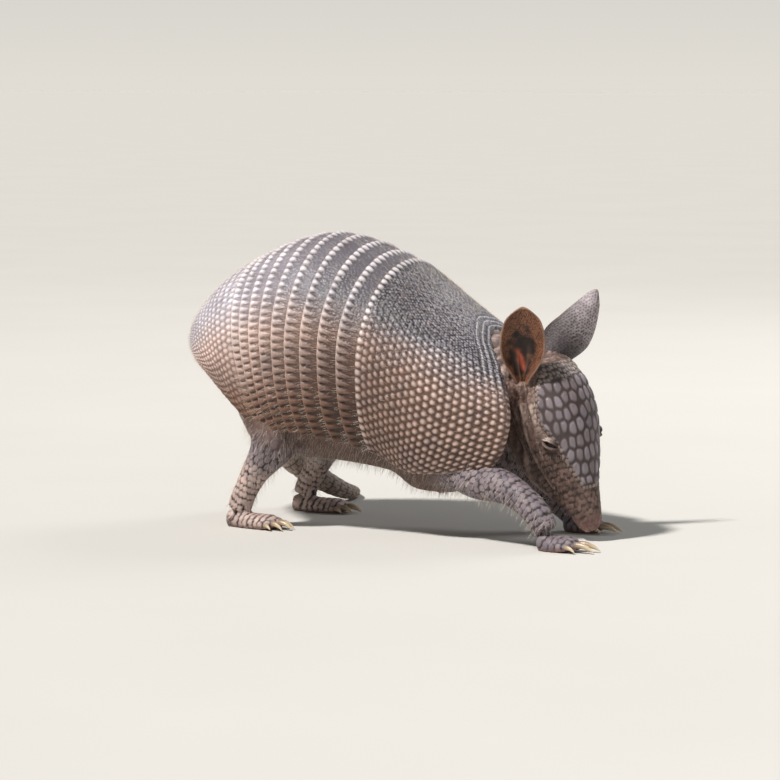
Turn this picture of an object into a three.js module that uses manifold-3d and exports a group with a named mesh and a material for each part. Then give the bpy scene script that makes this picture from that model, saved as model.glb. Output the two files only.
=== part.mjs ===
// A young nine-banded armadillo nosing at the ground, as a still, life-size model.
//
// Millimetres, +Z up. +X is the way the animal faces, +Y is its left. It stands on z = 0 with the
// origin under the middle of its outline. The horny plates, the soft parts, the eyes and the claws
// are separate solids, which keep a thin gap wherever they meet.

import * as THREE from "three";
import { mergeVertices } from "three/addons/utils/BufferGeometryUtils.js";
import Module from "manifold-3d";

const wasm = await Module();
wasm.setup();

// ---------------------------------------------------------------- driving dimensions

const GAP = 0.3; // between pieces that touch
const CLAW_GAP = 0.55; // between a toe's end and its claw, which leans away from it
const SHELL_GAP = 0.7; // between the faceted shell and the body inside it

// The barrel of the body at evenly spaced stations, from the tail root (u = 0) to the neck (u = 1).
const BODY = {
  x: [-92, -85, -74, -59, -31, 2, 17, 35],
  y: [0, 0, 0, 0, 0, 0, 1, 3],
  z: [62, 65, 67, 70, 74.5, 70, 59, 52],
  yaw: [-4, -4, -3, -2, 0, 3, 6, 8], // degrees, positive turns to the left
  pitch: [58, 44, 29, 15, 3, 0, -8, -12], // degrees, positive tips the front up
  halfWidth: [12, 24, 33, 39, 43.5, 43, 41, 34],
  rise: [16, 26, 35.5, 43.5, 49, 43.5, 41, 34], // centre to the ridge of the back
  drop: [14, 25, 35, 43, 47, 46, 42, 36], // centre to the belly
  margin: [60, 92, 116, 128, 131, 134, 134, 116], // degrees from the ridge to the shell's edge
  bow: [0, 0, 0, 0, -2, -3, 11, 27], // how far the flank of a ring lies ahead of its ridge
};
const BELLY_POWER = 0.8; // under 1 makes the lower half of a ring boxier than an ellipse
const BACK_LENGTH = 120; // roughly what u = 1 comes to along the flank
const SHELL_RADIUS = 40; // roughly what one radian comes to around the body

const SHELL = {
  thickness: 1.9,
  lip: 0.9, // how far a plate's rear edge stands over the front of the next
  bandRear: 3 / 7, // u of the pelvic shield's front edge
  bandFront: 5 / 7, // u of the shoulder shield's rear edge
  bands: 9,
  bandStretch: 0.22, // the foremost bands are spread wider than the last
  edgeGap: 0.45,
};

// The head in its own frame: x from the crown to the nose, y to its left, z out of its forehead.
const HEAD = {
  crown: new THREE.Vector3(62.5, 3, 72.5),
  yaw: -17,
  pitch: -73,
  turn: 8,
  x: [0, 3.5, 12, 25, 39, 52, 64, 72],
  halfWidth: [6.5, 12.5, 16.6, 17.2, 13.8, 9.2, 6.3, 4.3],
  rise: [6, 10.5, 14.4, 15, 12.2, 8.8, 6.3, 4.2],
  drop: [6, 12.5, 16.2, 16.4, 13.8, 9.6, 6.6, 4.4],
};
const NECK = { from: 0.95, to: 0.24, inset: 3.2, waist: -1.2 }; // u of the barrel, share of the head
const HEAD_PLATE = { from: 0.09, to: 0.76, spread: 64, thickness: 1.2 };
const EYE = { at: [33.5, 12, 5], radius: 3.2 };
const MOUTH = { length: 19, width: 30, height: 0.7, below: 3.2, tilt: 4 };
const NOSTRIL = { radius: 0.9, apart: 1.9, above: 0.8, depth: 3 };

// The ears stand up from the back of the crown. Each is turned its own way.
const EAR = {
  right: {
    root: [62, -10.7, 63.5], tip: [66, -17, 96.5], facing: [0.5, -0.86, 0.1],
    halfSpan: [4.5, 7.2, 9.8, 11.2, 11.2, 10.2, 7.6, 2.2], // along the curl, root to tip
  },
  left: {
    root: [60.5, 11.5, 71], tip: [75.5, 28, 101.5], facing: [-0.3, 0.93, 0.2],
    halfSpan: [7.5, 11.5, 12.4, 11.6, 9.6, 7.2, 4.6, 1.6],
  },
  curl: [125, 108, 88, 70, 60, 52, 46, 42], // half angle of the curl, degrees
  thickness: 1.1,
};

// A limb is a chain of joints, each a place and a radius, down to the toes.
const LIMBS = {
  fore_right: {
    side: -1, heading: 5,
    joints: [[24, -18, 40, 12.5], [45, -21, 26.5, 8.8], [65, -26.5, 23, 7.2], [79, -29, 15, 5.7], [84, -29.5, 8, 5]],
  },
  fore_left: {
    side: 1, heading: 3,
    joints: [[22, 20, 40, 12.5], [38, 24, 25, 8.8], [50, 28.5, 17, 7.2], [58, 30, 11, 5.7], [63, 30, 7.5, 5]],
  },
  hind_right: {
    side: -1, heading: -3,
    joints: [[-52, -21, 50, 14], [-49, -27, 36, 11.5], [-57, -30, 22, 7], [-62, -30.5, 12.5, 5], [-64, -30.5, 7.5, 4.8]],
  },
  hind_left: {
    side: 1, heading: 6,
    joints: [[-58, 21, 50, 14], [-57, 27, 34, 11.5], [-64, 30, 21, 7], [-69, 30.5, 12.5, 5], [-71, 30.5, 7.5, 4.8]],
  },
};
// The paw runs from the last joint to the toe roots. Toes are listed from the inner side out.
const FORE_PAW = {
  length: 8, halfWidth: 5.6, rise: 4,
  toes: [
    { spread: 16, across: 4, length: 3.8, radius: 1.8, claw: 4.4 },
    { spread: 5, across: 1.7, length: 6.2, radius: 2.4, claw: 8 },
    { spread: -5, across: -1.5, length: 5.8, radius: 2.4, claw: 8 },
    { spread: -17, across: -4.2, length: 3, radius: 1.8, claw: 4.4 },
  ],
};
const HIND_PAW = {
  length: 15, halfWidth: 5.8, rise: 4,
  toes: [
    { spread: 20, across: 4.4, length: 2.6, radius: 1.7, claw: 3.6 },
    { spread: 9, across: 2.6, length: 5.2, radius: 2.1, claw: 5 },
    { spread: 0, across: 0, length: 6, radius: 2.3, claw: 6 },
    { spread: -9, across: -2.6, length: 5.2, radius: 2.1, claw: 5 },
    { spread: -20, across: -4.4, length: 2.6, radius: 1.7, claw: 3.6 },
  ],
};

const TAIL = {
  path: [[-72, 2, 55], [-82.5, 10, 47.5], [-85, 22, 36], [-83, 35.5, 24], [-77, 49, 13], [-74, 65, 5.6], [-78, 82, 2.6], [-88, 97, 1.3]],
  radius: [8.6, 7.8, 7, 6, 4.9, 3.8, 2.7, 1.4],
  lengths: 6,
};

const MATERIALS = {
  shell: new THREE.MeshStandardMaterial({ color: 0x8f8279, roughness: 0.62, metalness: 0 }),
  head_shield: new THREE.MeshStandardMaterial({ color: 0x8b8489, roughness: 0.6, metalness: 0 }),
  skin: new THREE.MeshStandardMaterial({ color: 0x7a6459, roughness: 0.75, metalness: 0 }),
  limb_scales: new THREE.MeshStandardMaterial({ color: 0x857a7c, roughness: 0.65, metalness: 0 }),
  tail_rings: new THREE.MeshStandardMaterial({ color: 0x85776d, roughness: 0.65, metalness: 0 }),
  eye: new THREE.MeshStandardMaterial({ color: 0x140e0b, roughness: 0.12, metalness: 0 }),
  claw: new THREE.MeshStandardMaterial({ color: 0xb9a890, roughness: 0.42, metalness: 0 }),
};

// ---------------------------------------------------------------- small tools

const rad = THREE.MathUtils.degToRad;
const range = (n) => [...Array(n).keys()];
const smooth = (a, b, x) => THREE.MathUtils.smoothstep(x, a, b);
const sgnPow = (v, p) => Math.sign(v) * Math.abs(v) ** p;

// A smooth curve through evenly spaced values, read at u from 0 to 1.
function through(values, u) {
  const last = values.length - 1;
  const at = THREE.MathUtils.clamp(u, 0, 1) * last;
  const i = Math.min(Math.floor(at), last - 1);
  const t = at - i;
  const b = values[i];
  const c = values[i + 1];
  const a = i > 0 ? values[i - 1] : 2 * b - c;
  const d = i + 2 <= last ? values[i + 2] : 2 * c - b;
  return 0.5 * (2 * b + (c - a) * t + (2 * a - 5 * b + 4 * c - d) * t * t + (3 * b - a - 3 * c + d) * t ** 3);
}

function signedVolume(points, index) {
  let sum = 0;
  for (let k = 0; k < index.length; k += 3) {
    const [a, b, c] = [points[index[k]], points[index[k + 1]], points[index[k + 2]]];
    sum += a.dot(new THREE.Vector3().crossVectors(b, c));
  }
  return sum / 6;
}

// A closed geometry from its points and triangles, with the faces turned outwards.
function closedGeometry(points, index) {
  const outward = signedVolume(points, index) > 0 ? index : [...index].reverse();
  const geometry = new THREE.BufferGeometry().setFromPoints(points);
  geometry.setIndex(outward);
  return geometry;
}

// Skins a row of closed loops, with a fan over each end.
function loft(loops) {
  const sides = loops[0].length;
  const points = loops.flat();
  const index = [];
  for (const i of range(loops.length - 1)) {
    for (const j of range(sides)) {
      const [a, b] = [i * sides + j, i * sides + ((j + 1) % sides)];
      index.push(a, b, b + sides, a, b + sides, a + sides);
    }
  }
  for (const [start, flip] of [[0, true], [(loops.length - 1) * sides, false]]) {
    const centre = points.slice(start, start + sides).reduce((sum, p) => sum.add(p), new THREE.Vector3());
    points.push(centre.divideScalar(sides));
    const hub = points.length - 1;
    for (const j of range(sides)) {
      const [a, b] = [start + j, start + ((j + 1) % sides)];
      index.push(...(flip ? [b, a, hub] : [a, b, hub]));
    }
  }
  return closedGeometry(points, index);
}

// A curved sheet with thickness, from matching grids of outer and inner points.
function sheet(outer, inner) {
  const [rows, columns] = [outer.length, outer[0].length];
  const points = [...outer.flat(), ...inner.flat()];
  const out = (i, j) => i * columns + j;
  const inn = (i, j) => rows * columns + out(i, j);
  const index = [];
  const quad = (a, b, c, d) => index.push(a, b, c, a, c, d);
  for (const i of range(rows - 1)) {
    for (const j of range(columns - 1)) {
      quad(out(i, j), out(i, j + 1), out(i + 1, j + 1), out(i + 1, j));
      quad(inn(i, j), inn(i + 1, j), inn(i + 1, j + 1), inn(i, j + 1));
    }
    quad(out(i, 0), out(i + 1, 0), inn(i + 1, 0), inn(i, 0));
    quad(out(i + 1, columns - 1), out(i, columns - 1), inn(i, columns - 1), inn(i + 1, columns - 1));
  }
  for (const j of range(columns - 1)) {
    quad(out(0, j + 1), out(0, j), inn(0, j), inn(0, j + 1));
    quad(out(rows - 1, j), out(rows - 1, j + 1), inn(rows - 1, j + 1), inn(rows - 1, j));
  }
  return closedGeometry(points, index);
}

// Round loops along a smooth path of [x, y, z] points, each with the way the path runs there.
function loopsAlong(path, radii, steps, sides) {
  const curve = new THREE.CatmullRomCurve3(path.map((p) => new THREE.Vector3(...p)), false, "centripetal");
  const frames = curve.computeFrenetFrames(steps);
  return range(steps + 1).map((i) => {
    const centre = curve.getPointAt(i / steps);
    const radius = through(radii, i / steps);
    const loop = range(sides).map((j) => {
      const angle = (2 * Math.PI * j) / sides;
      return centre.clone()
        .addScaledVector(frames.normals[i], radius * Math.cos(angle))
        .addScaledVector(frames.binormals[i], radius * Math.sin(angle));
    });
    return { loop, way: frames.tangents[i] };
  });
}

const tube = (...shape) => loft(loopsAlong(...shape).map(({ loop }) => loop));

function toSolid(geometry) {
  const plain = new THREE.BufferGeometry().setAttribute("position", geometry.getAttribute("position"));
  plain.setIndex(geometry.index);
  const merged = mergeVertices(plain, 1e-3);
  return new wasm.Manifold(new wasm.Mesh({
    numProp: 3,
    vertProperties: new Float32Array(merged.attributes.position.array),
    triVerts: new Uint32Array(merged.index.array),
  }));
}

// The largest body of a solid as a geometry, so that a cut leaves no loose crumbs.
function toGeometry(solid) {
  const [largest] = solid.decompose().sort((a, b) => b.volume() - a.volume());
  const mesh = largest.getMesh();
  const places = range(mesh.numVert).map((i) => {
    const at = i * mesh.numProp;
    return new THREE.Vector3(...mesh.vertProperties.subarray(at, at + 3));
  });
  const geometry = new THREE.BufferGeometry().setFromPoints(places);
  geometry.setIndex([...mesh.triVerts]);
  return geometry;
}

const cut = (geometry, ...tools) =>
  toGeometry(tools.reduce((solid, tool) => solid.subtract(toSolid(tool)), toSolid(geometry)));
const keep = (geometry, tool) => toGeometry(toSolid(geometry).intersect(toSolid(tool)));

const model = new THREE.Group();
function add(name, geometry, material) {
  const mesh = new THREE.Mesh(geometry, material);
  mesh.name = name;
  mesh.geometry.computeVertexNormals();
  model.add(mesh);
}

// ---------------------------------------------------------------- the barrel and its shell

// The point of the barrel's ring u at an angle from the ridge, positive to the left, moved out by `out`.
function barrel(u, angle, out = 0) {
  const read = (key) => through(BODY[key], u);
  const [yaw, pitch] = [rad(read("yaw")), rad(read("pitch"))];
  const forward = new THREE.Vector3(Math.cos(yaw) * Math.cos(pitch), Math.sin(yaw) * Math.cos(pitch), Math.sin(pitch));
  const left = new THREE.Vector3(-Math.sin(yaw), Math.cos(yaw), 0);
  const up = new THREE.Vector3().crossVectors(forward, left);
  const above = Math.cos(angle) > 0;
  const power = above ? 1 : BELLY_POWER;
  const reach = read(above ? "rise" : "drop") + out;
  return new THREE.Vector3(read("x"), read("y"), read("z"))
    .addScaledVector(left, (read("halfWidth") + out) * sgnPow(Math.sin(angle), power))
    .addScaledVector(up, reach * sgnPow(Math.cos(angle), power))
    .addScaledVector(forward, read("bow") * Math.sin(angle) ** 2);
}

// A shell plate between two rings. Its outer face climbs by the lip towards its rear edge.
function shellPlate([from, to, rows, columns], grow = 0) {
  const [reach, turn] = [grow / BACK_LENGTH, grow / SHELL_RADIUS];
  const edge = (u) => rad(through(BODY.margin, u)) + turn;
  const grid = (depth) => range(rows + 1).map((i) => {
    const share = i / rows;
    const u = from - reach + (to - from + 2 * reach) * share;
    const lip = depth === 0 ? SHELL.lip * (1 - share) ** 1.5 - 0.2 + grow : -SHELL.thickness - grow;
    return range(columns + 1).map((j) => barrel(u, edge(u) * ((2 * j) / columns - 1), lip));
  });
  return sheet(grid(0), grid(1));
}

// u of the edge between band k - 1 and band k, counted from the shoulder shield backwards.
function bandEdge(k) {
  const share = k / SHELL.bands;
  const back = share + SHELL.bandStretch * share * (1 - share);
  return SHELL.bandFront - (SHELL.bandFront - SHELL.bandRear) * back;
}

const halfEdge = SHELL.edgeGap / 2 / BACK_LENGTH; // half the gap between plates, in u

// Each plate's span in u, and how finely it is divided along and around the body.
const PLATES = { scapular_shield: [SHELL.bandFront + halfEdge, 0.995, 6, 18] };
for (const k of range(SHELL.bands)) {
  PLATES[`band_${k + 1}`] = [bandEdge(k + 1) + halfEdge, bandEdge(k) - halfEdge, 1, 16];
}
PLATES.pelvic_shield = [0.01, SHELL.bandRear - halfEdge, 6, 16];

// The plates grown by the gap, to cut clear of them what comes out from under the shell.
const shellTools = Object.values(PLATES).map((span) => shellPlate(span, GAP));

// The body inside the shell. Past the shell's edge the belly swells out to the barrel itself.
function trunk(grow = 0) {
  const [rings, sides] = [12, 20];
  const [from, to] = [0.006 - grow / BACK_LENGTH, 0.985 + (2 * grow) / BACK_LENGTH];
  return loft(range(rings + 1).map((i) => {
    const u = from + ((to - from) * i) / rings;
    const margin = rad(through(BODY.margin, u));
    return range(sides).map((j) => {
      const angle = (2 * Math.PI * j) / sides - Math.PI;
      const bare = smooth(margin + 0.05, margin + 0.4, Math.abs(angle));
      return barrel(u, angle, grow - (SHELL.thickness + SHELL_GAP) * (1 - 0.75 * bare));
    });
  }));
}

// ---------------------------------------------------------------- head, neck and ears

const headFrame = new THREE.Matrix4()
  .makeTranslation(HEAD.crown)
  .multiply(new THREE.Matrix4().makeRotationZ(rad(HEAD.yaw)))
  .multiply(new THREE.Matrix4().makeRotationY(rad(-HEAD.pitch)))
  .multiply(new THREE.Matrix4().makeRotationZ(rad(HEAD.turn)));

const inHead = (x, y, z) => new THREE.Vector3(x, y, z).applyMatrix4(headFrame);

// The point of the head's ring at share v of its length, at an angle from the forehead's midline.
function skull(v, angle, out = 0) {
  const above = Math.cos(angle) > 0;
  return inHead(
    through(HEAD.x, v),
    (through(HEAD.halfWidth, v) + out) * Math.sin(angle),
    (through(above ? HEAD.rise : HEAD.drop, v) + out) * Math.cos(angle),
  );
}

function headBlank(grow = 0) {
  const [rings, sides] = [11, 16];
  return loft(range(rings + 1).map((i) =>
    range(sides).map((j) => skull(i / rings, (2 * Math.PI * j) / sides, grow))));
}

// The horny plate over the forehead, before the head is cut out of it.
function headPlate(grow = 0) {
  const [rows, columns] = [6, 8];
  const grid = (out) => range(rows + 1).map((i) => {
    const v = HEAD_PLATE.from + ((HEAD_PLATE.to - HEAD_PLATE.from) * i) / rows;
    const taper = Math.sqrt(Math.sin(Math.PI * (0.1 + (0.84 * i) / rows)));
    return range(columns + 1).map((j) =>
      skull(v, rad(HEAD_PLATE.spread) * taper * ((2 * j) / columns - 1), out));
  });
  return sheet(grid(GAP + HEAD_PLATE.thickness + grow), grid(-1));
}

function eyeball(side, grow = 0) {
  const [x, y, z] = EYE.at;
  const at = inHead(x, side * y, z);
  return new THREE.SphereGeometry(EYE.radius + grow, 10, 6).translate(at.x, at.y, at.z);
}

// A thin slit under the snout, open at the lips.
function mouthTool() {
  const tip = HEAD.x.at(-1);
  return new THREE.BoxGeometry(MOUTH.length, MOUTH.width, MOUTH.height)
    .rotateY(rad(MOUTH.tilt))
    .translate(tip - MOUTH.length / 2 + 1, 0, -MOUTH.below)
    .applyMatrix4(headFrame);
}

function nostrilTool(side) {
  return new THREE.CylinderGeometry(NOSTRIL.radius, NOSTRIL.radius, NOSTRIL.depth * 2, 8)
    .rotateZ(Math.PI / 2)
    .translate(HEAD.x.at(-1), side * NOSTRIL.apart, NOSTRIL.above)
    .applyMatrix4(headFrame);
}

// An ear is a leaf whose sides curl round its axis, nearly into a tube at the root.
function ear({ root, tip, facing, halfSpan }) {
  const [rows, columns] = [7, 8];
  const [start, end] = [new THREE.Vector3(...root), new THREE.Vector3(...tip)];
  const axis = end.clone().sub(start).normalize();
  const across = new THREE.Vector3(...facing).cross(axis).normalize();
  const front = new THREE.Vector3().crossVectors(axis, across);
  const grid = (inward) => range(rows + 1).map((i) => {
    const curl = rad(through(EAR.curl, i / rows));
    const radius = through(halfSpan, i / rows) / curl;
    return range(columns + 1).map((j) => {
      const turn = curl * ((2 * j) / columns - 1);
      const out = radius - inward;
      return start.clone().lerp(end, i / rows)
        .addScaledVector(across, out * Math.sin(turn))
        .addScaledVector(front, radius - out * Math.cos(turn));
    });
  });
  return sheet(grid(0), grid(EAR.thickness));
}

// The neck fills the shell's mouth and draws in towards the back of the head.
function neckBlank() {
  const [rings, sides] = [5, 18];
  return loft(range(rings + 1).map((i) => {
    const share = i / rings;
    const waist = NECK.waist * Math.sin(Math.PI * share);
    return range(sides).map((j) => {
      const angle = (2 * Math.PI * j) / sides;
      const back = barrel(NECK.from, angle, -NECK.inset - waist);
      return back.lerp(skull(NECK.to, angle, -1.5 - waist), share);
    });
  }));
}

function addHead() {
  const eyes = { right: -1, left: 1 };
  const sockets = Object.values(eyes).map((side) => eyeball(side, GAP));
  const nostrils = Object.values(eyes).map(nostrilTool);
  add("head", cut(headBlank(), ...sockets, ...nostrils, mouthTool()), MATERIALS.skin);
  add("neck", cut(neckBlank(), trunk(GAP), ...shellTools, headBlank(GAP), headPlate(GAP)), MATERIALS.skin);
  for (const [name, side] of Object.entries(eyes)) {
    add(`ear_${name}`, cut(ear(EAR[name]), headBlank(GAP), headPlate(GAP), neckBlank(), ...shellTools), MATERIALS.skin);
    add(`eye_${name}`, eyeball(side), MATERIALS.eye);
  }
  add("head_shield", cut(headPlate(), headBlank(GAP), ...sockets), MATERIALS.head_shield);
}

// ---------------------------------------------------------------- limbs, paws and claws

// Keeps what stands above the floor, which leaves a flat sole.
const onFloor = (geometry) => keep(geometry, new THREE.BoxGeometry(400, 400, 200).translate(0, 0, 100));

// The place of a toe's root, and the way it points, in the frame of its limb.
function toeFrame(limb, paw, toe, grow = 0) {
  const [x, y] = limb.joints.at(-1);
  const heading = rad(limb.heading);
  const forward = new THREE.Vector3(Math.cos(heading), Math.sin(heading), 0);
  const inward = new THREE.Vector3(-Math.sin(heading), Math.cos(heading), 0).multiplyScalar(-limb.side);
  const root = new THREE.Vector3(x, y, 0)
    .addScaledVector(forward, paw.length)
    .addScaledVector(inward, toe.across);
  const turned = rad(toe.spread);
  const way = forward.clone().multiplyScalar(Math.cos(turned)).addScaledVector(inward, Math.sin(turned));
  return { root, way, radius: toe.radius + grow };
}

const along = (root, way, distance, height) => {
  const p = root.clone().addScaledVector(way, distance);
  return [p.x, p.y, height];
};

function toeGeometry(limb, paw, toe, grow = 0) {
  const { root, way, radius } = toeFrame(limb, paw, toe, grow);
  const r = toe.radius;
  const path = [
    along(root, way, -4, r * 1.25),
    along(root, way, toe.length * 0.45, r * 1.25),
    along(root, way, toe.length + grow, r * 0.8),
  ];
  return tube(path, [radius, radius * 1.08, radius * 0.62], 2, 6);
}

function clawGeometry(limb, paw, toe) {
  const { root, way, radius } = toeFrame(limb, paw, toe);
  const [start, r] = [toe.length + CLAW_GAP, radius * 0.58];
  const path = [
    along(root, way, start, radius * 0.8),
    along(root, way, start + toe.claw * 0.5, radius * 0.72),
    along(root, way, start + toe.claw, 0.6),
  ];
  return tube(path, [r, r * 0.86, 0.3], 3, 6);
}

// The paw's pad, from behind the last joint to the toe roots.
function pawGeometry(limb, paw, grow = 0) {
  const [x, y, z, wrist] = limb.joints.at(-1);
  const heading = rad(limb.heading);
  const stations = [[-0.2, 0.75, z * 0.62], [0.15, 0.92, z * 0.62], [0.6, 1, paw.rise], [1.1, 0.86, paw.rise * 0.9]];
  return loft(stations.map(([share, wide, height]) => range(10).map((j) => {
    const angle = (2 * Math.PI * j) / 10;
    const half = (share < 0.3 ? wrist : paw.halfWidth) * wide + grow;
    const across = half * Math.cos(angle);
    return new THREE.Vector3(
      x + share * paw.length * Math.cos(heading) - across * Math.sin(heading),
      y + share * paw.length * Math.sin(heading) + across * Math.cos(heading),
      height * 0.55 + (height * 0.95 + grow) * Math.sin(angle),
    );
  })));
}

function legGeometry(limb, grow = 0) {
  const joints = limb.joints;
  return tube(joints.map((j) => j.slice(0, 3)), joints.map((j) => j[3] + grow), 7, 9);
}

function wholePaw(limb, paw, grow = 0) {
  const toes = paw.toes.map((toe) => toSolid(toeGeometry(limb, paw, toe, grow)));
  return toGeometry(toes.reduce((solid, toe) => solid.add(toe), toSolid(pawGeometry(limb, paw, grow))));
}

function addLimbs() {
  for (const [name, limb] of Object.entries(LIMBS)) {
    const paw = name.startsWith("fore") ? FORE_PAW : HIND_PAW;
    const leg = cut(legGeometry(limb), trunk(GAP), ...shellTools, neckBlank(), wholePaw(limb, paw, GAP));
    add(`${name}_leg`, onFloor(leg), MATERIALS.limb_scales);
    add(`${name}_foot`, onFloor(wholePaw(limb, paw)), MATERIALS.limb_scales);
    paw.toes.forEach((toe, i) => add(`${name}_claw_${i + 1}`, clawGeometry(limb, paw, toe), MATERIALS.claw));
  }
}

// ---------------------------------------------------------------- tail

function addTail() {
  const steps = 3; // loops to a length
  const loops = loopsAlong(TAIL.path, TAIL.radius, TAIL.lengths * steps, 12);
  for (const k of range(TAIL.lengths)) {
    const part = loops.slice(k * steps, (k + 1) * steps + 1).map(({ loop, way }, i) => {
      const inset = i === 0 ? GAP / 2 : i === steps ? -GAP / 2 : 0;
      return loop.map((p) => p.clone().addScaledVector(way, inset));
    });
    const length = k === 0 ? cut(loft(part), trunk(GAP), ...shellTools) : loft(part);
    add(`tail_${k + 1}`, onFloor(length), MATERIALS.tail_rings);
  }
}

// ---------------------------------------------------------------- the whole animal

for (const [name, span] of Object.entries(PLATES)) add(name, shellPlate(span), MATERIALS.shell);
add("trunk", trunk(), MATERIALS.skin);
addHead();
addLimbs();
addTail();

const outline = new THREE.Box3().setFromObject(model);
const middle = outline.getCenter(new THREE.Vector3());
model.position.set(-middle.x, -middle.y, -outline.min.z);

export default model;
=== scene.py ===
"""A young nine-banded armadillo nosing at the ground: the visible model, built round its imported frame.

The shape functions work in the CAD source's own millimetres and axes: +X the way the animal faces,
+Y its left, +Z up. metres() turns their points into Blender's metres in the frame's place.
"""

import math

import bmesh
import bpy
import numpy as np
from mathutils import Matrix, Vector, noise
from mathutils.bvhtree import BVHTree


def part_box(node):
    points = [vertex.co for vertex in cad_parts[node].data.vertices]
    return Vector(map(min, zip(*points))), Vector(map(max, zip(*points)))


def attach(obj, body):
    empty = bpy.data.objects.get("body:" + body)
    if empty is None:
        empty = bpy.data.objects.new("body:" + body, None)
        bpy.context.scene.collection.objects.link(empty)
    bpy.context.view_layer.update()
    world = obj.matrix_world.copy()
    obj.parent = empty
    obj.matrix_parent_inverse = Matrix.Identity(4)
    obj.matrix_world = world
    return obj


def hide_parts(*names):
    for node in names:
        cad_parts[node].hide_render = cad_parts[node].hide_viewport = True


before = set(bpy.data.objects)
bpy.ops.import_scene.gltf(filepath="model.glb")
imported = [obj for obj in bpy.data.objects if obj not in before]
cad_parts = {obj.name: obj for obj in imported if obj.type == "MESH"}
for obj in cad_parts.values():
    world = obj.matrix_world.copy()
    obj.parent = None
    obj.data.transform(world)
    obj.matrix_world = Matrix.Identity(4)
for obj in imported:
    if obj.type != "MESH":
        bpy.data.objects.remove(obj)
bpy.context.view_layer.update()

bl_info = {
    "name": "Young nine-banded armadillo",
    "version": (1, 0, 0),
    "blender": (4, 5, 0),
    "location": "3D View > Sidebar > Armadillo",
    "description": "Builds the armadillo's shell, skin, eyes, claws, hair and studio round its frame",
    "category": "Object",
}

# ---------------------------------------------------------------- the body, as in the frame's source

BODY = {
    "x": [-92, -85, -74, -59, -31, 2, 17, 35],
    "y": [0, 0, 0, 0, 0, 0, 1, 3],
    "z": [62, 65, 67, 70, 74.5, 70, 59, 52],
    "yaw": [-4, -4, -3, -2, 0, 3, 6, 8],
    "pitch": [58, 44, 29, 15, 3, 0, -8, -12],
    "half_width": [12, 24, 33, 39, 43.5, 43, 41, 34],
    "rise": [16, 26, 35.5, 43.5, 49, 43.5, 41, 34],
    "drop": [14, 25, 35, 43, 47, 46, 42, 36],
    "margin": [60, 92, 116, 128, 131, 134, 134, 116],
    "bow": [0, 0, 0, 0, -2, -3, 11, 27],
}
BELLY_POWER = 0.8
BAND_REAR, BAND_FRONT, BANDS, BAND_STRETCH = 3 / 7, 5 / 7, 9, 0.22
SHELL_DEPTH = 2.6  # from the shell's face to the body under it

HEAD = {
    "crown": (62.5, 3, 72.5),
    "yaw": -17, "pitch": -73, "turn": 8,
    "x": [0, 3.5, 12, 25, 39, 52, 64, 72],
    "half_width": [6.5, 12.5, 16.6, 17.2, 13.8, 9.2, 6.3, 4.3],
    "rise": [6, 10.5, 14.4, 15, 12.2, 8.8, 6.3, 4.2],
    "drop": [6, 12.5, 16.2, 16.4, 13.8, 9.6, 6.6, 4.4],
}
HEAD_PLATE = {"from": 0.09, "to": 0.76, "spread": [38, 54, 65, 70, 57, 53, 34]}
NECK = {"from": 0.95, "to": 0.24, "inset": 3.2, "waist": -1.2, "cheek": 3.6}
THROAT = [(4, 0, -22, 12), (24, -1, -16, 11.5), (40, -1, -12.5, 10.8), (52, 0, -7.5, 8.6), (60, 0, -4, 5)]
# The roll of flesh from under each ear down behind the cheek: its share of the head's length, its angle
# round the head, how far out its middle lies and its radius.
CHEEK_ROLL = [(0.03, 1.40, -2.6, 4.4), (0.15, 1.52, -2.2, 4.8), (0.30, 1.70, -2.6, 4.8), (0.45, 1.92, -3.6, 4.2),
              (0.58, 2.15, -4.6, 3.0)]
EYE_AT, EYE_RADIUS, EYE_SLANT = (33.5, 12, 5.0), 3.2, math.radians(52)
EARS = {
    "right": {"root": (62, -10.7, 63.5), "tip": (66, -17, 96.5), "facing": (0.5, -0.86, 0.1), "inner": 1.0, "outer": 1.0,
              "span": [4.5, 7.2, 9.8, 11.2, 11.2, 10.2, 8.0, 4.0]},
    "left": {"root": (60.5, 11.5, 71), "tip": (75.5, 28, 101.5), "facing": (-0.3, 0.93, 0.2), "inner": 0.7, "outer": 1.45,
             "span": [7.5, 12, 13, 12.2, 10, 7.4, 4.8, 2.2]},
}
EAR_CURL = [125, 108, 88, 70, 60, 52, 46, 42]
LIMBS = {
    "fore_right": (-1, 5, [(24, -18, 40, 12.5), (45, -21, 26.5, 8.8), (65, -26.5, 23, 7.2),
                           (79, -29, 15, 5.7), (84, -29.5, 8, 5)]),
    "fore_left": (1, 3, [(22, 20, 40, 12.5), (38, 24, 25, 8.8), (50, 28.5, 17, 7.2),
                         (58, 30, 11, 5.7), (63, 30, 7.5, 5)]),
    "hind_right": (-1, -3, [(-52, -21, 50, 14), (-49, -27, 36, 11.5), (-57, -30, 22, 7),
                            (-62, -30.5, 12.5, 5), (-64, -30.5, 7.5, 4.8)]),
    "hind_left": (1, 6, [(-58, 21, 50, 14), (-57, 27, 34, 11.5), (-64, 30, 21, 7),
                         (-69, 30.5, 12.5, 5), (-71, 30.5, 7.5, 4.8)]),
}
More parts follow.
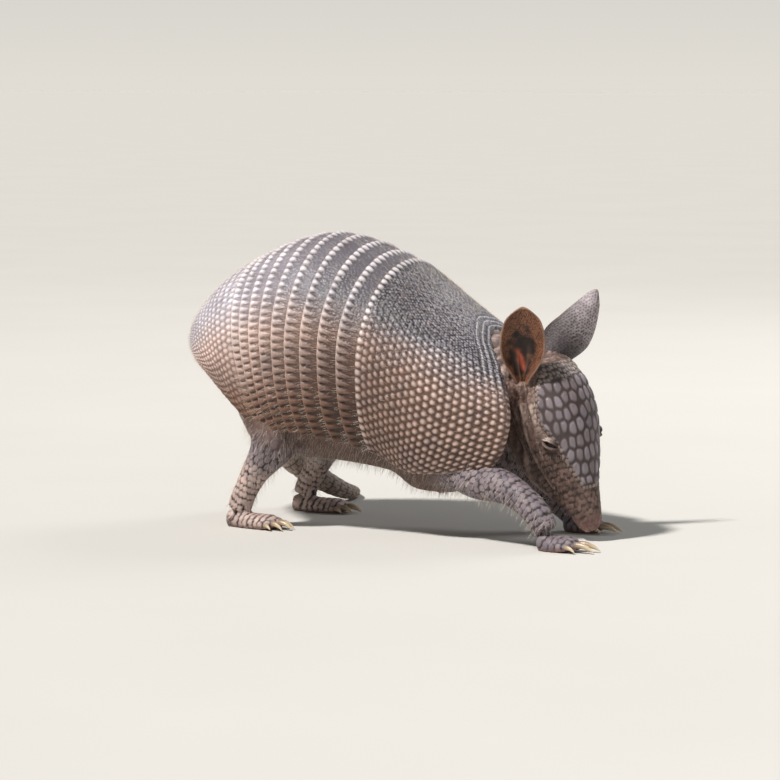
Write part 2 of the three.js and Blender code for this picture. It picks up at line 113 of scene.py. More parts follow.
# Each toe: its spread in degrees, its place across the paw, its length, radius and claw.
FORE_PAW = {"length": 8, "half_width": 5.6, "rise": 4,
            "toes": [(16, 4, 3.8, 1.8, 4.4), (5, 1.7, 6.2, 2.4, 8), (-5, -1.5, 5.8, 2.4, 8),
                     (-17, -4.2, 3, 1.8, 4.4)]}
HIND_PAW = {"length": 15, "half_width": 5.8, "rise": 4,
            "toes": [(20, 4.4, 2.6, 1.7, 3.6), (9, 2.6, 5.2, 2.1, 5), (0, 0, 6, 2.3, 6),
                     (-9, -2.6, 5.2, 2.1, 5), (-20, -4.4, 2.6, 1.7, 3.6)]}
CLAW_GAP = 0.55
TAIL_PATH = [(-72, 2, 55), (-82.5, 10, 47.5), (-85, 22, 36), (-83, 35.5, 24), (-77, 49, 13),
             (-74, 65, 5.6), (-78, 82, 2.6), (-88, 97, 1.3)]
TAIL_RADIUS = [8.6, 7.8, 7, 6, 4.9, 3.8, 2.7, 1.4]


def through(values, u):
    """A smooth curve through evenly spaced values, read at u from 0 to 1."""
    v = np.asarray(values, float)
    at = np.clip(u, 0, 1) * (len(v) - 1)
    i = np.minimum(at.astype(int), len(v) - 2)
    t = at - i
    e = np.concatenate([[2 * v[0] - v[1]], v, [2 * v[-1] - v[-2]]])
    a, b, c, d = e[i], e[i + 1], e[i + 2], e[i + 3]
    return 0.5 * (2 * b + (c - a) * t + (2 * a - 5 * b + 4 * c - d) * t**2 + (3 * b - a - 3 * c + d) * t**3)


def smooth(low, high, x):
    t = np.clip((x - low) / (high - low), 0, 1)
    return t * t * (3 - 2 * t)


def unit(v):
    v = np.asarray(v, float)
    return v / np.maximum(np.linalg.norm(v, axis=-1, keepdims=True), 1e-9)


def signed_power(v, p):
    return np.sign(v) * np.abs(v) ** p


def ring_frame(u):
    """The centre of the body's ring at u, and the ways forward, left and up there."""
    yaw, pitch = (np.radians(through(BODY[k], u)) for k in ("yaw", "pitch"))
    forward = np.stack([np.cos(yaw) * np.cos(pitch), np.sin(yaw) * np.cos(pitch), np.sin(pitch)], -1)
    left = np.stack([-np.sin(yaw), np.cos(yaw), 0 * yaw], -1)
    centre = np.stack([through(BODY[k], u) for k in "xyz"], -1)
    return centre, forward, left, np.cross(forward, left)


def barrel(u, angle, out=0.0):
    """The point of the body's ring u at an angle from the ridge of the back, positive to the left."""
    u, angle, out = np.broadcast_arrays(np.asarray(u, float), angle, out)
    centre, forward, left, up = ring_frame(u)
    s, c = np.sin(angle), np.cos(angle)
    power = np.where(c > 0, 1, BELLY_POWER)
    side = (through(BODY["half_width"], u) + out) * signed_power(s, power)
    height = (np.where(c > 0, through(BODY["rise"], u), through(BODY["drop"], u)) + out) * signed_power(c, power)
    ahead = through(BODY["bow"], u) * s**2
    return centre + side[..., None] * left + height[..., None] * up + ahead[..., None] * forward


def rotation(axis, degrees):
    c, s = math.cos(math.radians(degrees)), math.sin(math.radians(degrees))
    return np.array({"y": [[c, 0, s], [0, 1, 0], [-s, 0, c]], "z": [[c, -s, 0], [s, c, 0], [0, 0, 1]]}[axis])


HEAD_TURN = rotation("z", HEAD["yaw"]) @ rotation("y", -HEAD["pitch"]) @ rotation("z", HEAD["turn"])


def in_head(points):
    return np.asarray(points, float) @ HEAD_TURN.T + HEAD["crown"]


def to_head(points):
    return (np.asarray(points, float) - HEAD["crown"]) @ HEAD_TURN


def skull(v, angle, out=0.0):
    """The point of the head's ring at share v of its length, at an angle from the forehead's midline."""
    v, angle, out = np.broadcast_arrays(np.asarray(v, float), angle, out)
    c = np.cos(angle)
    deep = np.where(c > 0, through(HEAD["rise"], v), through(HEAD["drop"], v)) + out
    wide = through(HEAD["half_width"], v) + out
    return in_head(np.stack([through(HEAD["x"], v), wide * np.sin(angle), deep * c], -1))


def box_centre(node):
    low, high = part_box(node)
    return (np.array(low) + np.array(high)) * 500


EYE_SIDES = {"right": -1, "left": 1}
ORIGIN = box_centre("eye_right") - in_head((EYE_AT[0], -EYE_AT[1], EYE_AT[2]))


def metres(points):
    return (np.asarray(points, float) + ORIGIN) / 1000


# ---------------------------------------------------------------- mesh tools


def make_object(name, points, faces, attributes=None, uvs=None):
    """A smooth-shaded mesh object from points in millimetres and an array of equal-sided faces."""
    points, faces = metres(points).reshape(-1, 3), np.asarray(faces, np.int32)
    mesh = bpy.data.meshes.new(name)
    mesh.vertices.add(len(points))
    mesh.vertices.foreach_set("co", points.astype(np.float32).ravel())
    count, sides = faces.shape
    mesh.loops.add(count * sides)
    mesh.polygons.add(count)
    mesh.loops.foreach_set("vertex_index", faces.ravel())
    mesh.polygons.foreach_set("loop_start", np.arange(count, dtype=np.int32) * sides)
    mesh.update(calc_edges=True)
    mesh.polygons.foreach_set("use_smooth", np.ones(count, bool))
    if uvs is not None:
        layer = mesh.uv_layers.new(name="OFBake")
        layer.data.foreach_set("uv", np.asarray(uvs, np.float32).reshape(-1, 2)[faces.ravel()].ravel())
    for key, values in (attributes or {}).items():
        store(mesh, key, values)
    mesh.update()
    piece = bpy.data.objects.new(name, mesh)
    bpy.context.scene.collection.objects.link(piece)
    return piece


def store(mesh, key, values):
    values = np.asarray(values, np.float32)
    if values.ndim > 1 and values.shape[-1] == 3:
        colours = np.concatenate([values.reshape(-1, 3), np.ones((values.size // 3, 1), np.float32)], 1)
        mesh.attributes.new(key, "FLOAT_COLOR", "POINT").data.foreach_set("color", colours.ravel())
    else:
        mesh.attributes.new(key, "FLOAT", "POINT").data.foreach_set("value", values.ravel())


def grid_faces(rows, columns, closed=False, start=0):
    """The quads of a grid of points. A closed one joins its last column to its first."""
    i = np.arange(rows - 1)[:, None] * columns
    j = np.arange(columns if closed else columns - 1)[None]
    k = (j + 1) % columns
    return start + np.stack([i + j, i + k, i + columns + k, i + columns + j], -1).reshape(-1, 4)


def outward(points, faces):
    """The faces, turned over as one if they enclose a negative volume."""
    a, b, c = (points[faces[:, k]] for k in range(3))
    d = points[faces[:, -1]]
    volume = (np.einsum("ij,ij->i", a, np.cross(b, c)) + np.einsum("ij,ij->i", a, np.cross(c, d))).sum()
    return faces if volume > 0 else faces[:, ::-1]


def finish_piece(piece, material, nodes):
    piece.data.materials.append(material)
    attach(piece, "root")
    if nodes:
        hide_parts(*nodes)
    return piece


def curve_points(path, count):
    """Evenly spaced points on a smooth centripetal curve through the path."""
    p = np.asarray(path, float)
    p = np.vstack([2 * p[0] - p[1], p, 2 * p[-1] - p[-2]])
    t = np.linspace(0, 1, 41)[:-1, None]
    pieces = []
    for a, b, c, d in zip(p, p[1:], p[2:], p[3:]):
        before, here, after = (max(np.linalg.norm(q - r) ** 0.5, 1e-4) for q, r in ((b, a), (c, b), (d, c)))
        start = ((b - a) / before - (c - a) / (before + here) + (c - b) / here) * here
        end = ((c - b) / here - (d - b) / (here + after) + (d - c) / after) * here
        pieces.append(b + start * t + (3 * (c - b) - 2 * start - end) * t**2 + (2 * (b - c) + start + end) * t**3)
    line = np.vstack(pieces + [p[-2:-1]])
    run = np.concatenate([[0], np.cumsum(np.linalg.norm(np.diff(line, axis=0), axis=1))])
    at = np.linspace(0, run[-1], count)
    return np.stack([np.interp(at, run, line[:, k]) for k in range(3)], -1)


def path_frames(points, up=(0, 0, 1)):
    """The way along a path and two ways across it, the second as near to up as it can be."""
    way = unit(np.gradient(points, axis=0))
    side = unit(np.cross(np.broadcast_to(np.asarray(up, float), way.shape), way))
    return way, side, np.cross(way, side)


def tube(path, radii, count, sides):
    """Round loops along a path: an array of count by sides points, from the side round over the top."""
    centre = curve_points(path, count)
    way, side, top = path_frames(centre)
    radius = through(radii, np.linspace(0, 1, count))[:, None, None]
    angle = np.linspace(0, 2 * np.pi, sides, endpoint=False)[None, :, None]
    return centre[:, None] + radius * (np.cos(angle) * side[:, None] + np.sin(angle) * top[:, None])


def closed_loft(loops):
    """The points and triangles of a row of closed loops, with a fan over each end."""
    rows, sides = loops.shape[:2]
    quads = grid_faces(rows, sides, closed=True)
    triangles = np.vstack([quads[:, [0, 1, 2]], quads[:, [0, 2, 3]]])
    points = np.vstack([loops.reshape(-1, 3), loops[0].mean(0), loops[-1].mean(0)])
    j = np.arange(sides)
    k = (j + 1) % sides
    last = (rows - 1) * sides
    ends = [np.stack([k, j, j * 0 + rows * sides], -1), np.stack([last + j, last + k, j * 0 + rows * sides + 1], -1)]
    return points, outward(points, np.vstack([triangles] + ends))


# ---------------------------------------------------------------- materials


class Wire:
    """A shader socket that takes part in sums as a number does."""

    def __init__(self, shader, socket):
        self.shader, self.socket = shader, socket

    def _maths(self, operation, first, second=None):
        inputs = {0: first} if second is None else {0: first, 1: second}
        return self.shader.node("ShaderNodeMath", {"operation": operation}, inputs)

    def __add__(self, other):
        return self._maths("ADD", self, other)

    def __sub__(self, other):
        return self._maths("SUBTRACT", self, other)

    def __rsub__(self, other):
        return self._maths("SUBTRACT", other, self)

    def __mul__(self, other):
        return self._maths("MULTIPLY", self, other)

    def __pow__(self, other):
        return self._maths("POWER", self, other)

    __radd__, __rmul__ = __add__, __mul__


class Shader:
    """A material whose nodes are added by name and wired by socket."""

    def __init__(self, name, roughness=0.5, **sockets):
        self.material = bpy.data.materials.new(name)
        self.material.use_nodes = True
        self.tree = self.material.node_tree
        self.bsdf = self.tree.nodes["Principled BSDF"]
        self.set(Roughness=roughness, **sockets)

    def set(self, **sockets):
        for name, value in sockets.items():
            self._feed(self.bsdf.inputs[name.replace("_", " ")], value)

    def _feed(self, socket, value):
        if isinstance(value, Wire):
            self.tree.links.new(value.socket, socket)
        elif isinstance(value, (tuple, list)) and len(value) == 3 and socket.type == "RGBA":
            socket.default_value = (*value, 1)
        else:
            socket.default_value = value

    def node(self, kind, settings=None, inputs=None, output=0):
        made = self.tree.nodes.new(kind)
        for key, value in (settings or {}).items():
            if key == "ramp":
                self._ramp(made.color_ramp, value)
            else:
                setattr(made, key, value)
        for key, value in (inputs or {}).items():
            self._feed(made.inputs[key], value)
        return Wire(self, made.outputs[output])

    @staticmethod
    def _ramp(ramp, stops):
        while len(ramp.elements) < len(stops):
            ramp.elements.new(1)
        for element, (place, value) in zip(ramp.elements, stops):
            element.position = place
            element.color = (value,) * 3 + (1,) if isinstance(value, (int, float)) else (*value, 1)

    def attribute(self, name, output="Fac"):
        return self.node("ShaderNodeAttribute", {"attribute_name": name}, output=output)

    def place(self):
        return self.node("ShaderNodeTexCoord", output="Object")

    def noise(self, scale, detail=3, roughness=0.55):
        values = {"Vector": self.place(), "Scale": scale, "Detail": detail, "Roughness": roughness}
        return self.node("ShaderNodeTexNoise", None, values)

    def grains(self, scale):
        """Rounded grains, 1 at the middle of each and 0 between them."""
        values = {"Vector": self.place(), "Scale": scale}
        return 1 - self.node("ShaderNodeTexVoronoi", {"feature": "F1"}, values) * 1.25

    def ramp(self, value, *stops):
        return self.node("ShaderNodeValToRGB", {"ramp": stops}, {"Fac": value})

    def mix(self, share, first, second, blend="MIX"):
        settings = {"data_type": "RGBA", "blend_type": blend}
        return self.node("ShaderNodeMix", settings, {0: share, 6: first, 7: second}, output=2)

    def bump(self, height, strength, distance, normal=None):
        inputs = {"Height": height, "Strength": strength, "Distance": distance}
        if normal:
            inputs["Normal"] = normal
        return self.node("ShaderNodeBump", None, inputs)


def srgb(r, g, b):
    """A colour given as 0 to 255 on a screen, as the linear values a shader takes."""
    return tuple(v / 12.92 if v <= 0.04045 else ((v + 0.055) / 1.055) ** 2.4 for v in (r / 255, g / 255, b / 255))


def colour_prop(name, text, *rgb):
    return bpy.props.FloatVectorProperty(name=name, description=text, subtype="COLOR", size=3, min=0, max=1,
                                         default=srgb(*rgb))


def length_prop(name, text, value, low=0.0):
    return bpy.props.FloatProperty(name=name, description=text + ", in millimetres", default=value, min=low)


class ArmadilloShell(bpy.types.PropertyGroup):
    shoulder_columns: bpy.props.IntProperty(name="Shoulder columns", default=60, min=8,
                                            description="Scutes across the shoulder shield")
    pelvic_columns: bpy.props.IntProperty(name="Pelvic columns", default=60, min=8,
                                          description="Scutes across the pelvic shield")
    band_columns: bpy.props.IntProperty(name="Band columns", default=64, min=8,
                                        description="Scutes across each band")
    bead: length_prop("Bead height", "How far a scute's dome stands up", 0.74)
    step: length_prop("Step", "How far a plate's rear edge stands over the next plate", 1.0)
    grid: length_prop("Grid", "The size of a plate's faces", 0.37, 0.1)
    ground_high: colour_prop("Ground, back", "Between the scutes, high on the back", 46, 42, 47)
    ground_low: colour_prop("Ground, flank", "Between the scutes, low on the flank", 92, 68, 57)
    bead_high: colour_prop("Bead, back", "The scutes high on the back", 184, 181, 190)
    bead_low: colour_prop("Bead, flank", "The scutes low on the flank", 188, 160, 147)


class ArmadilloSkin(bpy.types.PropertyGroup):
    voxel: length_prop("Voxel", "The size of the skin's faces", 0.6, 0.2)
    face: colour_prop("Face", "The cheeks and throat", 146, 120, 110)
    # Painted highlight: the neck colour is the lit crests of the folds behind the ears.
    neck: colour_prop("Neck", "The folds behind the ears", 190, 166, 157)
    # Partly painted shade: the belly colour is darkened for the shadow under the body.
    belly: colour_prop("Belly", "The belly and the insides of the legs", 112, 88, 78)
    scale: colour_prop("Leg scales", "The scales of the legs and feet", 130, 118, 123)
    seam: colour_prop("Leg seams", "Between the scales of the legs", 42, 32, 33)
    snout: colour_prop("Snout", "The tip of the snout", 128, 96, 88)


class ArmadilloStage(bpy.types.PropertyGroup):
    azimuth: bpy.props.FloatProperty(name="Azimuth", description="The camera's turn from the animal's right side",
                                     default=math.radians(32), subtype="ANGLE")
    elevation: bpy.props.FloatProperty(name="Elevation", description="The camera's height over the floor",
                                       default=math.radians(5), subtype="ANGLE")
    distance: bpy.props.FloatProperty(name="Distance", description="From the camera to the animal",
                                      default=1.5, unit="LENGTH")
    floor: colour_prop("Floor", "The floor and backdrop", 190, 188, 183)


# ---------------------------------------------------------------- the shell


def even_angles(u, columns, reach=0.0):
    """For each ring u, angles that divide the shell's width evenly, and that width in millimetres."""
    margin = np.radians(through(BODY["margin"], u)) + reach / 40
    turn = np.linspace(0, 1, 181)[None] * margin[:, None]
    line = barrel(u[:, None], turn)
    run = np.concatenate([np.zeros((len(u), 1)), np.cumsum(np.linalg.norm(np.diff(line, axis=1), axis=2), axis=1)], 1)
    share = np.linspace(-1, 1, columns)
    angles = np.stack([np.interp(np.abs(share) * r[-1], r, t) for r, t in zip(run, turn)]) * np.sign(share)
    return angles, 2 * run[:, -1]


def cell_noise(row, column, seed):
    """A steady number from 0 to 1 for each cell of a lattice."""
    value = np.sin(row * 127.1 + column * 311.7 + seed * 74.7) * 43758.5453
    return value - np.floor(value)


def lattice(row, column, tall, wide, offset=(0.0, 0.0), jitter=0.0, seed=1):
    """Millimetres to the nearest point of a staggered lattice, and that point's own number."""
    row, column = row - offset[0], column - offset[1]
    best = np.full(row.shape, 1e9)
    number = np.zeros(row.shape)
    for step in (-1, 0, 1, 2):
        j = np.floor(row) + step
        stagger = 0.5 * np.mod(j, 2)
        i = np.round(column - stagger)
        dr = jitter * (cell_noise(j, i, seed) - 0.5)
        dc = jitter * (cell_noise(j, i, seed + 7) - 0.5)
        away = np.hypot((column - stagger - i - dc) * wide, (row - j - dr) * tall)
        near = away < best
        best = np.where(near, away, best)
        number = np.where(near, cell_noise(j, i, seed + 3), number)
    return best, number


def dome(distance, radius, power=1.0):
    return np.clip(1 - (distance / radius) ** 2, 0, 1) ** power


def edge_drop(share, width, bevel, depth):
    """How far a plate turns down towards its side margins, for a share of -1 to 1 across it."""
    inside = (1 - np.abs(share)) * width / 2
    curve = 1 - np.sqrt(np.clip(1 - np.clip(1 - inside / bevel, 0, 1) ** 2, 0, 1))
    return depth * curve


def plate_grid(span, rows, columns, relief, name, lip=(True, True), shared=None):
    """A plate's mesh: an even grid over its span of u with a relief, turned down at its edges."""
    u = np.linspace(*span, rows)
    angles, width = even_angles(u, columns)
    share = np.broadcast_to(np.linspace(-1, 1, columns), angles.shape)
    row = np.broadcast_to(np.linspace(0, 1, rows)[:, None], angles.shape)
    flat = barrel(u[:, None], angles)
    long = np.linalg.norm(np.diff(flat, axis=0), axis=2).sum(0)[None]
    out, masks = relief(row, share, width[:, None], np.broadcast_to(long, angles.shape), angles)
    out = out - edge_drop(share, width[:, None], 1.3, 1.4)
    from_rear, from_front = row * long, (1 - row) * long
    for wanted, away in zip(lip, (from_rear, from_front)):
        if wanted:
            out = out - 1.2 * (1 - np.sqrt(np.clip(1 - np.clip(1 - away / 0.9, 0, 1) ** 2, 0, 1)))
    points = barrel(u[:, None], angles, out)
    # One more ring of points all round tucks the edge in under the plate.
    rim_u = np.concatenate([[u[0]], u, [u[-1]]])
    rim_angles = np.pad(angles, 1, mode="edge")
    tuck = np.full(rim_angles.shape, -SHELL_DEPTH + 0.1)
    tucked = barrel(rim_u[:, None], rim_angles, tuck)
    tucked[1:-1, 1:-1] = points
    # The low mask paints shade over the lower flank; a plate may scale it down.
    masks["low"] = smooth(math.radians(66), math.radians(114), np.abs(angles)) * masks.pop("dusk", 1.0)
    masks = {key: np.pad(value, 1, mode="edge") for key, value in masks.items()}
    rows, columns = rows + 2, columns + 2
    uv = np.stack(np.meshgrid(np.linspace(0.01, 0.99, columns), np.linspace(0.01, 0.99, rows)), -1)
    return make_object(name, tucked, grid_faces(rows, columns)[:, ::-1], masks, uv)


def back_share(angles):
    """1 on the ridge of the back, 0 low on the flank."""
    return 1 - smooth(math.radians(32), math.radians(84), np.abs(angles))


def beads(row, column, tall, wide, high, size, props, seed):
    """Round scutes among fine grains. Where high nears 1 only the grains are left, with pits among them."""
    primary, number = lattice(row, column, 0.88 * tall, wide, jitter=0.16, seed=seed)
    fine = 2.15
    speck, chance = lattice(row * fine, column * fine, tall / fine, wide / fine, jitter=0.45, seed=seed + 11)
    radius = (0.415 - 0.13 * high) * wide * (0.90 + 0.20 * number)
    big = dome(primary, radius * size, 0.8) * (1 - smooth(0.45, 0.9, high))
    small = dome(speck, 0.25 * wide, 0.9)
    away, depth = lattice(row, column, tall, wide, offset=(0.5, 0.25), jitter=0.25, seed=seed + 5)
    pits = dome(away, 0.28 * wide, 0.6) * (0.55 + 0.45 * depth)
    out = np.maximum(big * props.bead * (1 - 0.4 * high), small * 0.24) - 0.26 * pits * (0.2 + 0.8 * high)
    tone = np.maximum(big, small * (0.25 + 0.62 * high) * (0.60 + 0.40 * chance))
    pale = np.zeros(row.shape)
    # The pit mask paints shade into the pits among the grains.
    return out, {"dome": tone, "pit": pits * (0.42 + 0.58 * high), "number": number, "pale": pale}


def edge_row(away, column, wide, low, seed):
    """The teeth just inside a plate's rear edge, and the wedge that reaches forward from each."""
    i = np.round(column)
    across = np.abs(column - i) * wide
    number = cell_noise(i, i * 0 + seed, 5)
    half = wide * (0.46 + 0.05 * number - 0.10 * smooth(1.6, 3.6, away))
    long = np.where(away > 1.6, 2.1, 1.1) + 0.45 * number
    bump = dome(np.hypot(across / half, (away - 1.6) / long), 1.0, 0.9)
    reach = np.clip((away - 1.5) / (2.4 + 3.6 * low), 0, 1)
    wedge = smooth(1.05, 0.5, across / (wide * (0.48 - 0.36 * reach))) * (1 - reach) * (away > 1.5)
    return bump, wedge, number


def band_edge(k):
    share = k / BANDS
    return BAND_FRONT - (BAND_FRONT - BAND_REAR) * (share + BAND_STRETCH * share * (1 - share))


def build_shoulder(props):
    def relief(row, share, width, long, angles):
        high = back_share(angles)
        column = share * props.shoulder_columns / 2
        wide = width / props.shoulder_columns
        rows = 22.5
        bead, masks = beads(row * rows + 0.35, column, long / rows, wide, high, 1.0, props, 3)
        away = row * long
        bump, wedge, number = edge_row(away, column * props.band_columns / props.shoulder_columns,
                                       width / props.band_columns, 1 - high, 2)
        rear = 1 - smooth(3.0, 3.8, away)
        front = (1 - row) * long
        line = (front + 0.3 * np.sin(14 * angles)) % 3.1
        ridge = np.exp(-(((line - 1.5) / 0.6) ** 2)) * (0.7 + 0.3 * np.cos(4 * np.pi * column))
        fold = (1 - smooth(9.0, 9.6, front)) * (0.15 + 0.85 * high) * smooth(0.3, 1.0, front)
        out = bead * (1 - rear) * (1 - 0.6 * fold * ridge) + rear * bump * 0.72 + fold * (0.75 * ridge - 0.25)
        shade = 1 - 0.28 * (1 - smooth(0.15, 0.6, row))
        masks["dome"] = masks["dome"] * shade * (1 - rear) * (1 - 0.35 * fold) + rear * bump + 0.62 * fold * ridge
        # Painted shade in the pits and in the troughs of the folds at the shield's front.
        masks["pit"] = masks["pit"] * (1 - rear) * (1 - fold * ridge) + 0.35 * fold * (1 - ridge) * (front < 3.4)
        rim = (1 - smooth(0.5, 0.9, away))
        masks["edge"] = np.maximum(rim, 1 - smooth(0.5, 1.2, (1 - np.abs(share)) * width / 2))
        # Painted highlight on the teeth at the rear edge, strongest high on the back where the sun falls.
        masks["bright"] = rear * bump * (0.2 + 0.8 * high)
        masks["high"] = high
        # How much of the painted shade on the lower flank the shoulder takes.
        masks["dusk"] = 0.3 + 0.35 * (1 - smooth(0.1, 0.7, row)) * high
        slope = 0.42 * props.step * (1 - smooth(0, 12, away)) - 0.2
        return out + slope, masks

    rows = int(64 / props.grid)
    return plate_grid((BAND_FRONT + 0.0015, 0.995), rows, int(202 / props.grid), relief, "shoulder_plate")


def build_pelvic(props):
    def relief(row, share, width, long, angles):
        high = back_share(angles) * 0.35
        rows = 20
        column = share * props.pelvic_columns / 2
        wide = width / props.pelvic_columns
        bead, masks = beads((1 - row) * rows, column, long / rows, wide, high, 1.06, props, 9)
        masks["edge"] = 1 - smooth(0.5, 1.2, (1 - np.abs(share)) * width / 2)
        # Painted highlight on the pelvic scutes' domes.
        masks["bright"] = masks["dome"] * 0.25
        # Painted light: the whole pelvic shield is made paler.
        masks["pale"] = np.ones(row.shape)
        masks["high"] = back_share(angles)
        slope = -0.85 * props.step * smooth(0.80, 1, row) + 0.1
        return bead * 0.8 + slope, masks

    rows = int(66 / props.grid)
    return plate_grid((0.006, BAND_REAR + 0.012), rows, int(190 / props.grid), relief, "pelvic_plate",
                      lip=(True, False))


def build_band(props, k):
    """Band k, from its rear edge to where its front goes under the plate ahead."""
    tuck_under = 0.012

    def relief(row, share, width, long, angles):
        high = back_share(angles)
        shown = long * (band_edge(k) - band_edge(k + 1)) / (band_edge(k) - band_edge(k + 1) + tuck_under)
        away = row * long
        column = share * props.band_columns / 2 + 0.37 * k
        wide = width / props.band_columns
        low = 1 - high
        bump, wedge, number = edge_row(away, column, wide, low, k)
        between = (1 - smooth(0.0, 0.4, np.maximum(bump, wedge))) * smooth(0.9, 1.5, away)
        between = between * (1 - smooth(2.4 + 2.2 * low, 5.2 + 2.6 * low, away))
        fine = 0.5 + 0.5 * np.sin(column * 2 * np.pi * 2.6 + 1.6 * np.sin(0.8 * away + 1.3 * column))
        rim = smooth(0.2, 0.55, away) * (1 - smooth(0.9, 1.9, away))
        out = 0.5 * bump + 0.24 * wedge + 0.06 * fine * smooth(2.5, 4, away) - 0.16 * between + 0.14 * rim * low
        out = out + props.step * (0.42 - 1.15 * smooth(0.0, 1.0, away / np.maximum(shown, 1)))
        edge = np.maximum(1 - smooth(0.45, 0.8, away), 1 - smooth(0.5, 1.2, (1 - np.abs(share)) * width / 2))
        masks = {
            "dome": np.maximum.reduce([bump * (0.8 + 0.2 * high), wedge * 0.75, rim * (0.3 + 0.7 * low)])
            + (0.14 + 0.2 * low) * fine * smooth(2, 4, away),
            # Painted shade in the grooves between the teeth and the wedges.
            "pit": between * (0.42 - 0.14 * low),
            # The teeth's painted highlight, strongest on the back.
            "edge": edge, "bright": bump * (0.2 + 0.8 * high), "high": high, "number": number,
            # Painted light: the bands grow paler towards the rump, and a little on the back.
            "pale": np.clip((k - 1) / (BANDS - 1), 0, 1) * (1 - 0.25 * high) + 0.26 * high,
        }
        return out, masks

    span = (band_edge(k + 1) + 0.0015, band_edge(k) + tuck_under)
    rows = int(12.5 / props.grid) + 6
    return plate_grid(span, rows, int(214 / props.grid), relief, f"band_{k + 1}_plate", lip=(True, False))


def shell_material(props):
    shader = Shader("Horny plate", roughness=0.5, Specular_IOR_Level=0.45)
    tone, pit, edge, bright, high = (shader.attribute(k) for k in ("dome", "pit", "edge", "bright", "high"))
    number, pale = shader.attribute("number"), shader.attribute("pale")
    mottle = shader.noise(90, 4)
    fine = shader.noise(900, 3, 0.65)
    grain = shader.grains(820)
    back = shader.ramp(high + (mottle - 0.5) * 0.5, (0.0, 0), (0.62, 1))
    ground = shader.mix(back, tuple(props.ground_low), tuple(props.ground_high))
    bead = shader.mix(back, tuple(props.bead_low), tuple(props.bead_high))
    bead = shader.mix(number * 0.3, bead, srgb(150, 130, 120))
    # Painted light on the rump and rear bands: paler ground and scutes where pale is set.
    ground = shader.mix(pale * 0.8, ground, shader.mix(back, srgb(174, 147, 137), srgb(172, 166, 177)))
    bead = shader.mix(pale * 0.65, bead, shader.mix(back, srgb(236, 214, 206), srgb(230, 225, 232)))
    speck = shader.ramp(grain, (0.35, 0), (0.85, 0.12)) * (1 - bright)
    lift = shader.ramp(tone + speck, (0.18, 0), (0.92, 1))
    colour = shader.mix(lift, ground, bead)
    # Painted highlight: the tops of the domes go towards white.
    colour = shader.mix(shader.ramp(tone, (0.7, 0), (1.0, 0.3)), colour, srgb(240, 226, 220))
    # Painted highlight on the teeth and domes.
    colour = shader.mix(bright * 0.45, colour, srgb(232, 224, 222))
    colour = shader.mix(edge * 0.5, colour, srgb(196, 178, 164))
    # Painted shade low on the flank.
    colour = shader.mix(shader.attribute("low"), colour, srgb(156, 131, 113), "MULTIPLY")
    # Painted shade in the pits and grooves.
    colour = shader.mix(pit * 0.85, colour, srgb(38, 28, 26))
    colour = shader.mix(shader.ramp(mottle, (0.35, 0), (0.75, 0.35)), colour, srgb(84, 64, 50), "MULTIPLY")
    shader.set(Base_Color=colour, Roughness=shader.ramp(fine, (0.3, 0.38), (0.7, 0.58)))
    coarse = shader.bump(grain * (1 - tone), 0.55, 0.0004)
    shader.set(Normal=shader.bump(fine, 0.25, 0.0003, coarse))
    return shader.material


# ---------------------------------------------------------------- the head's plates


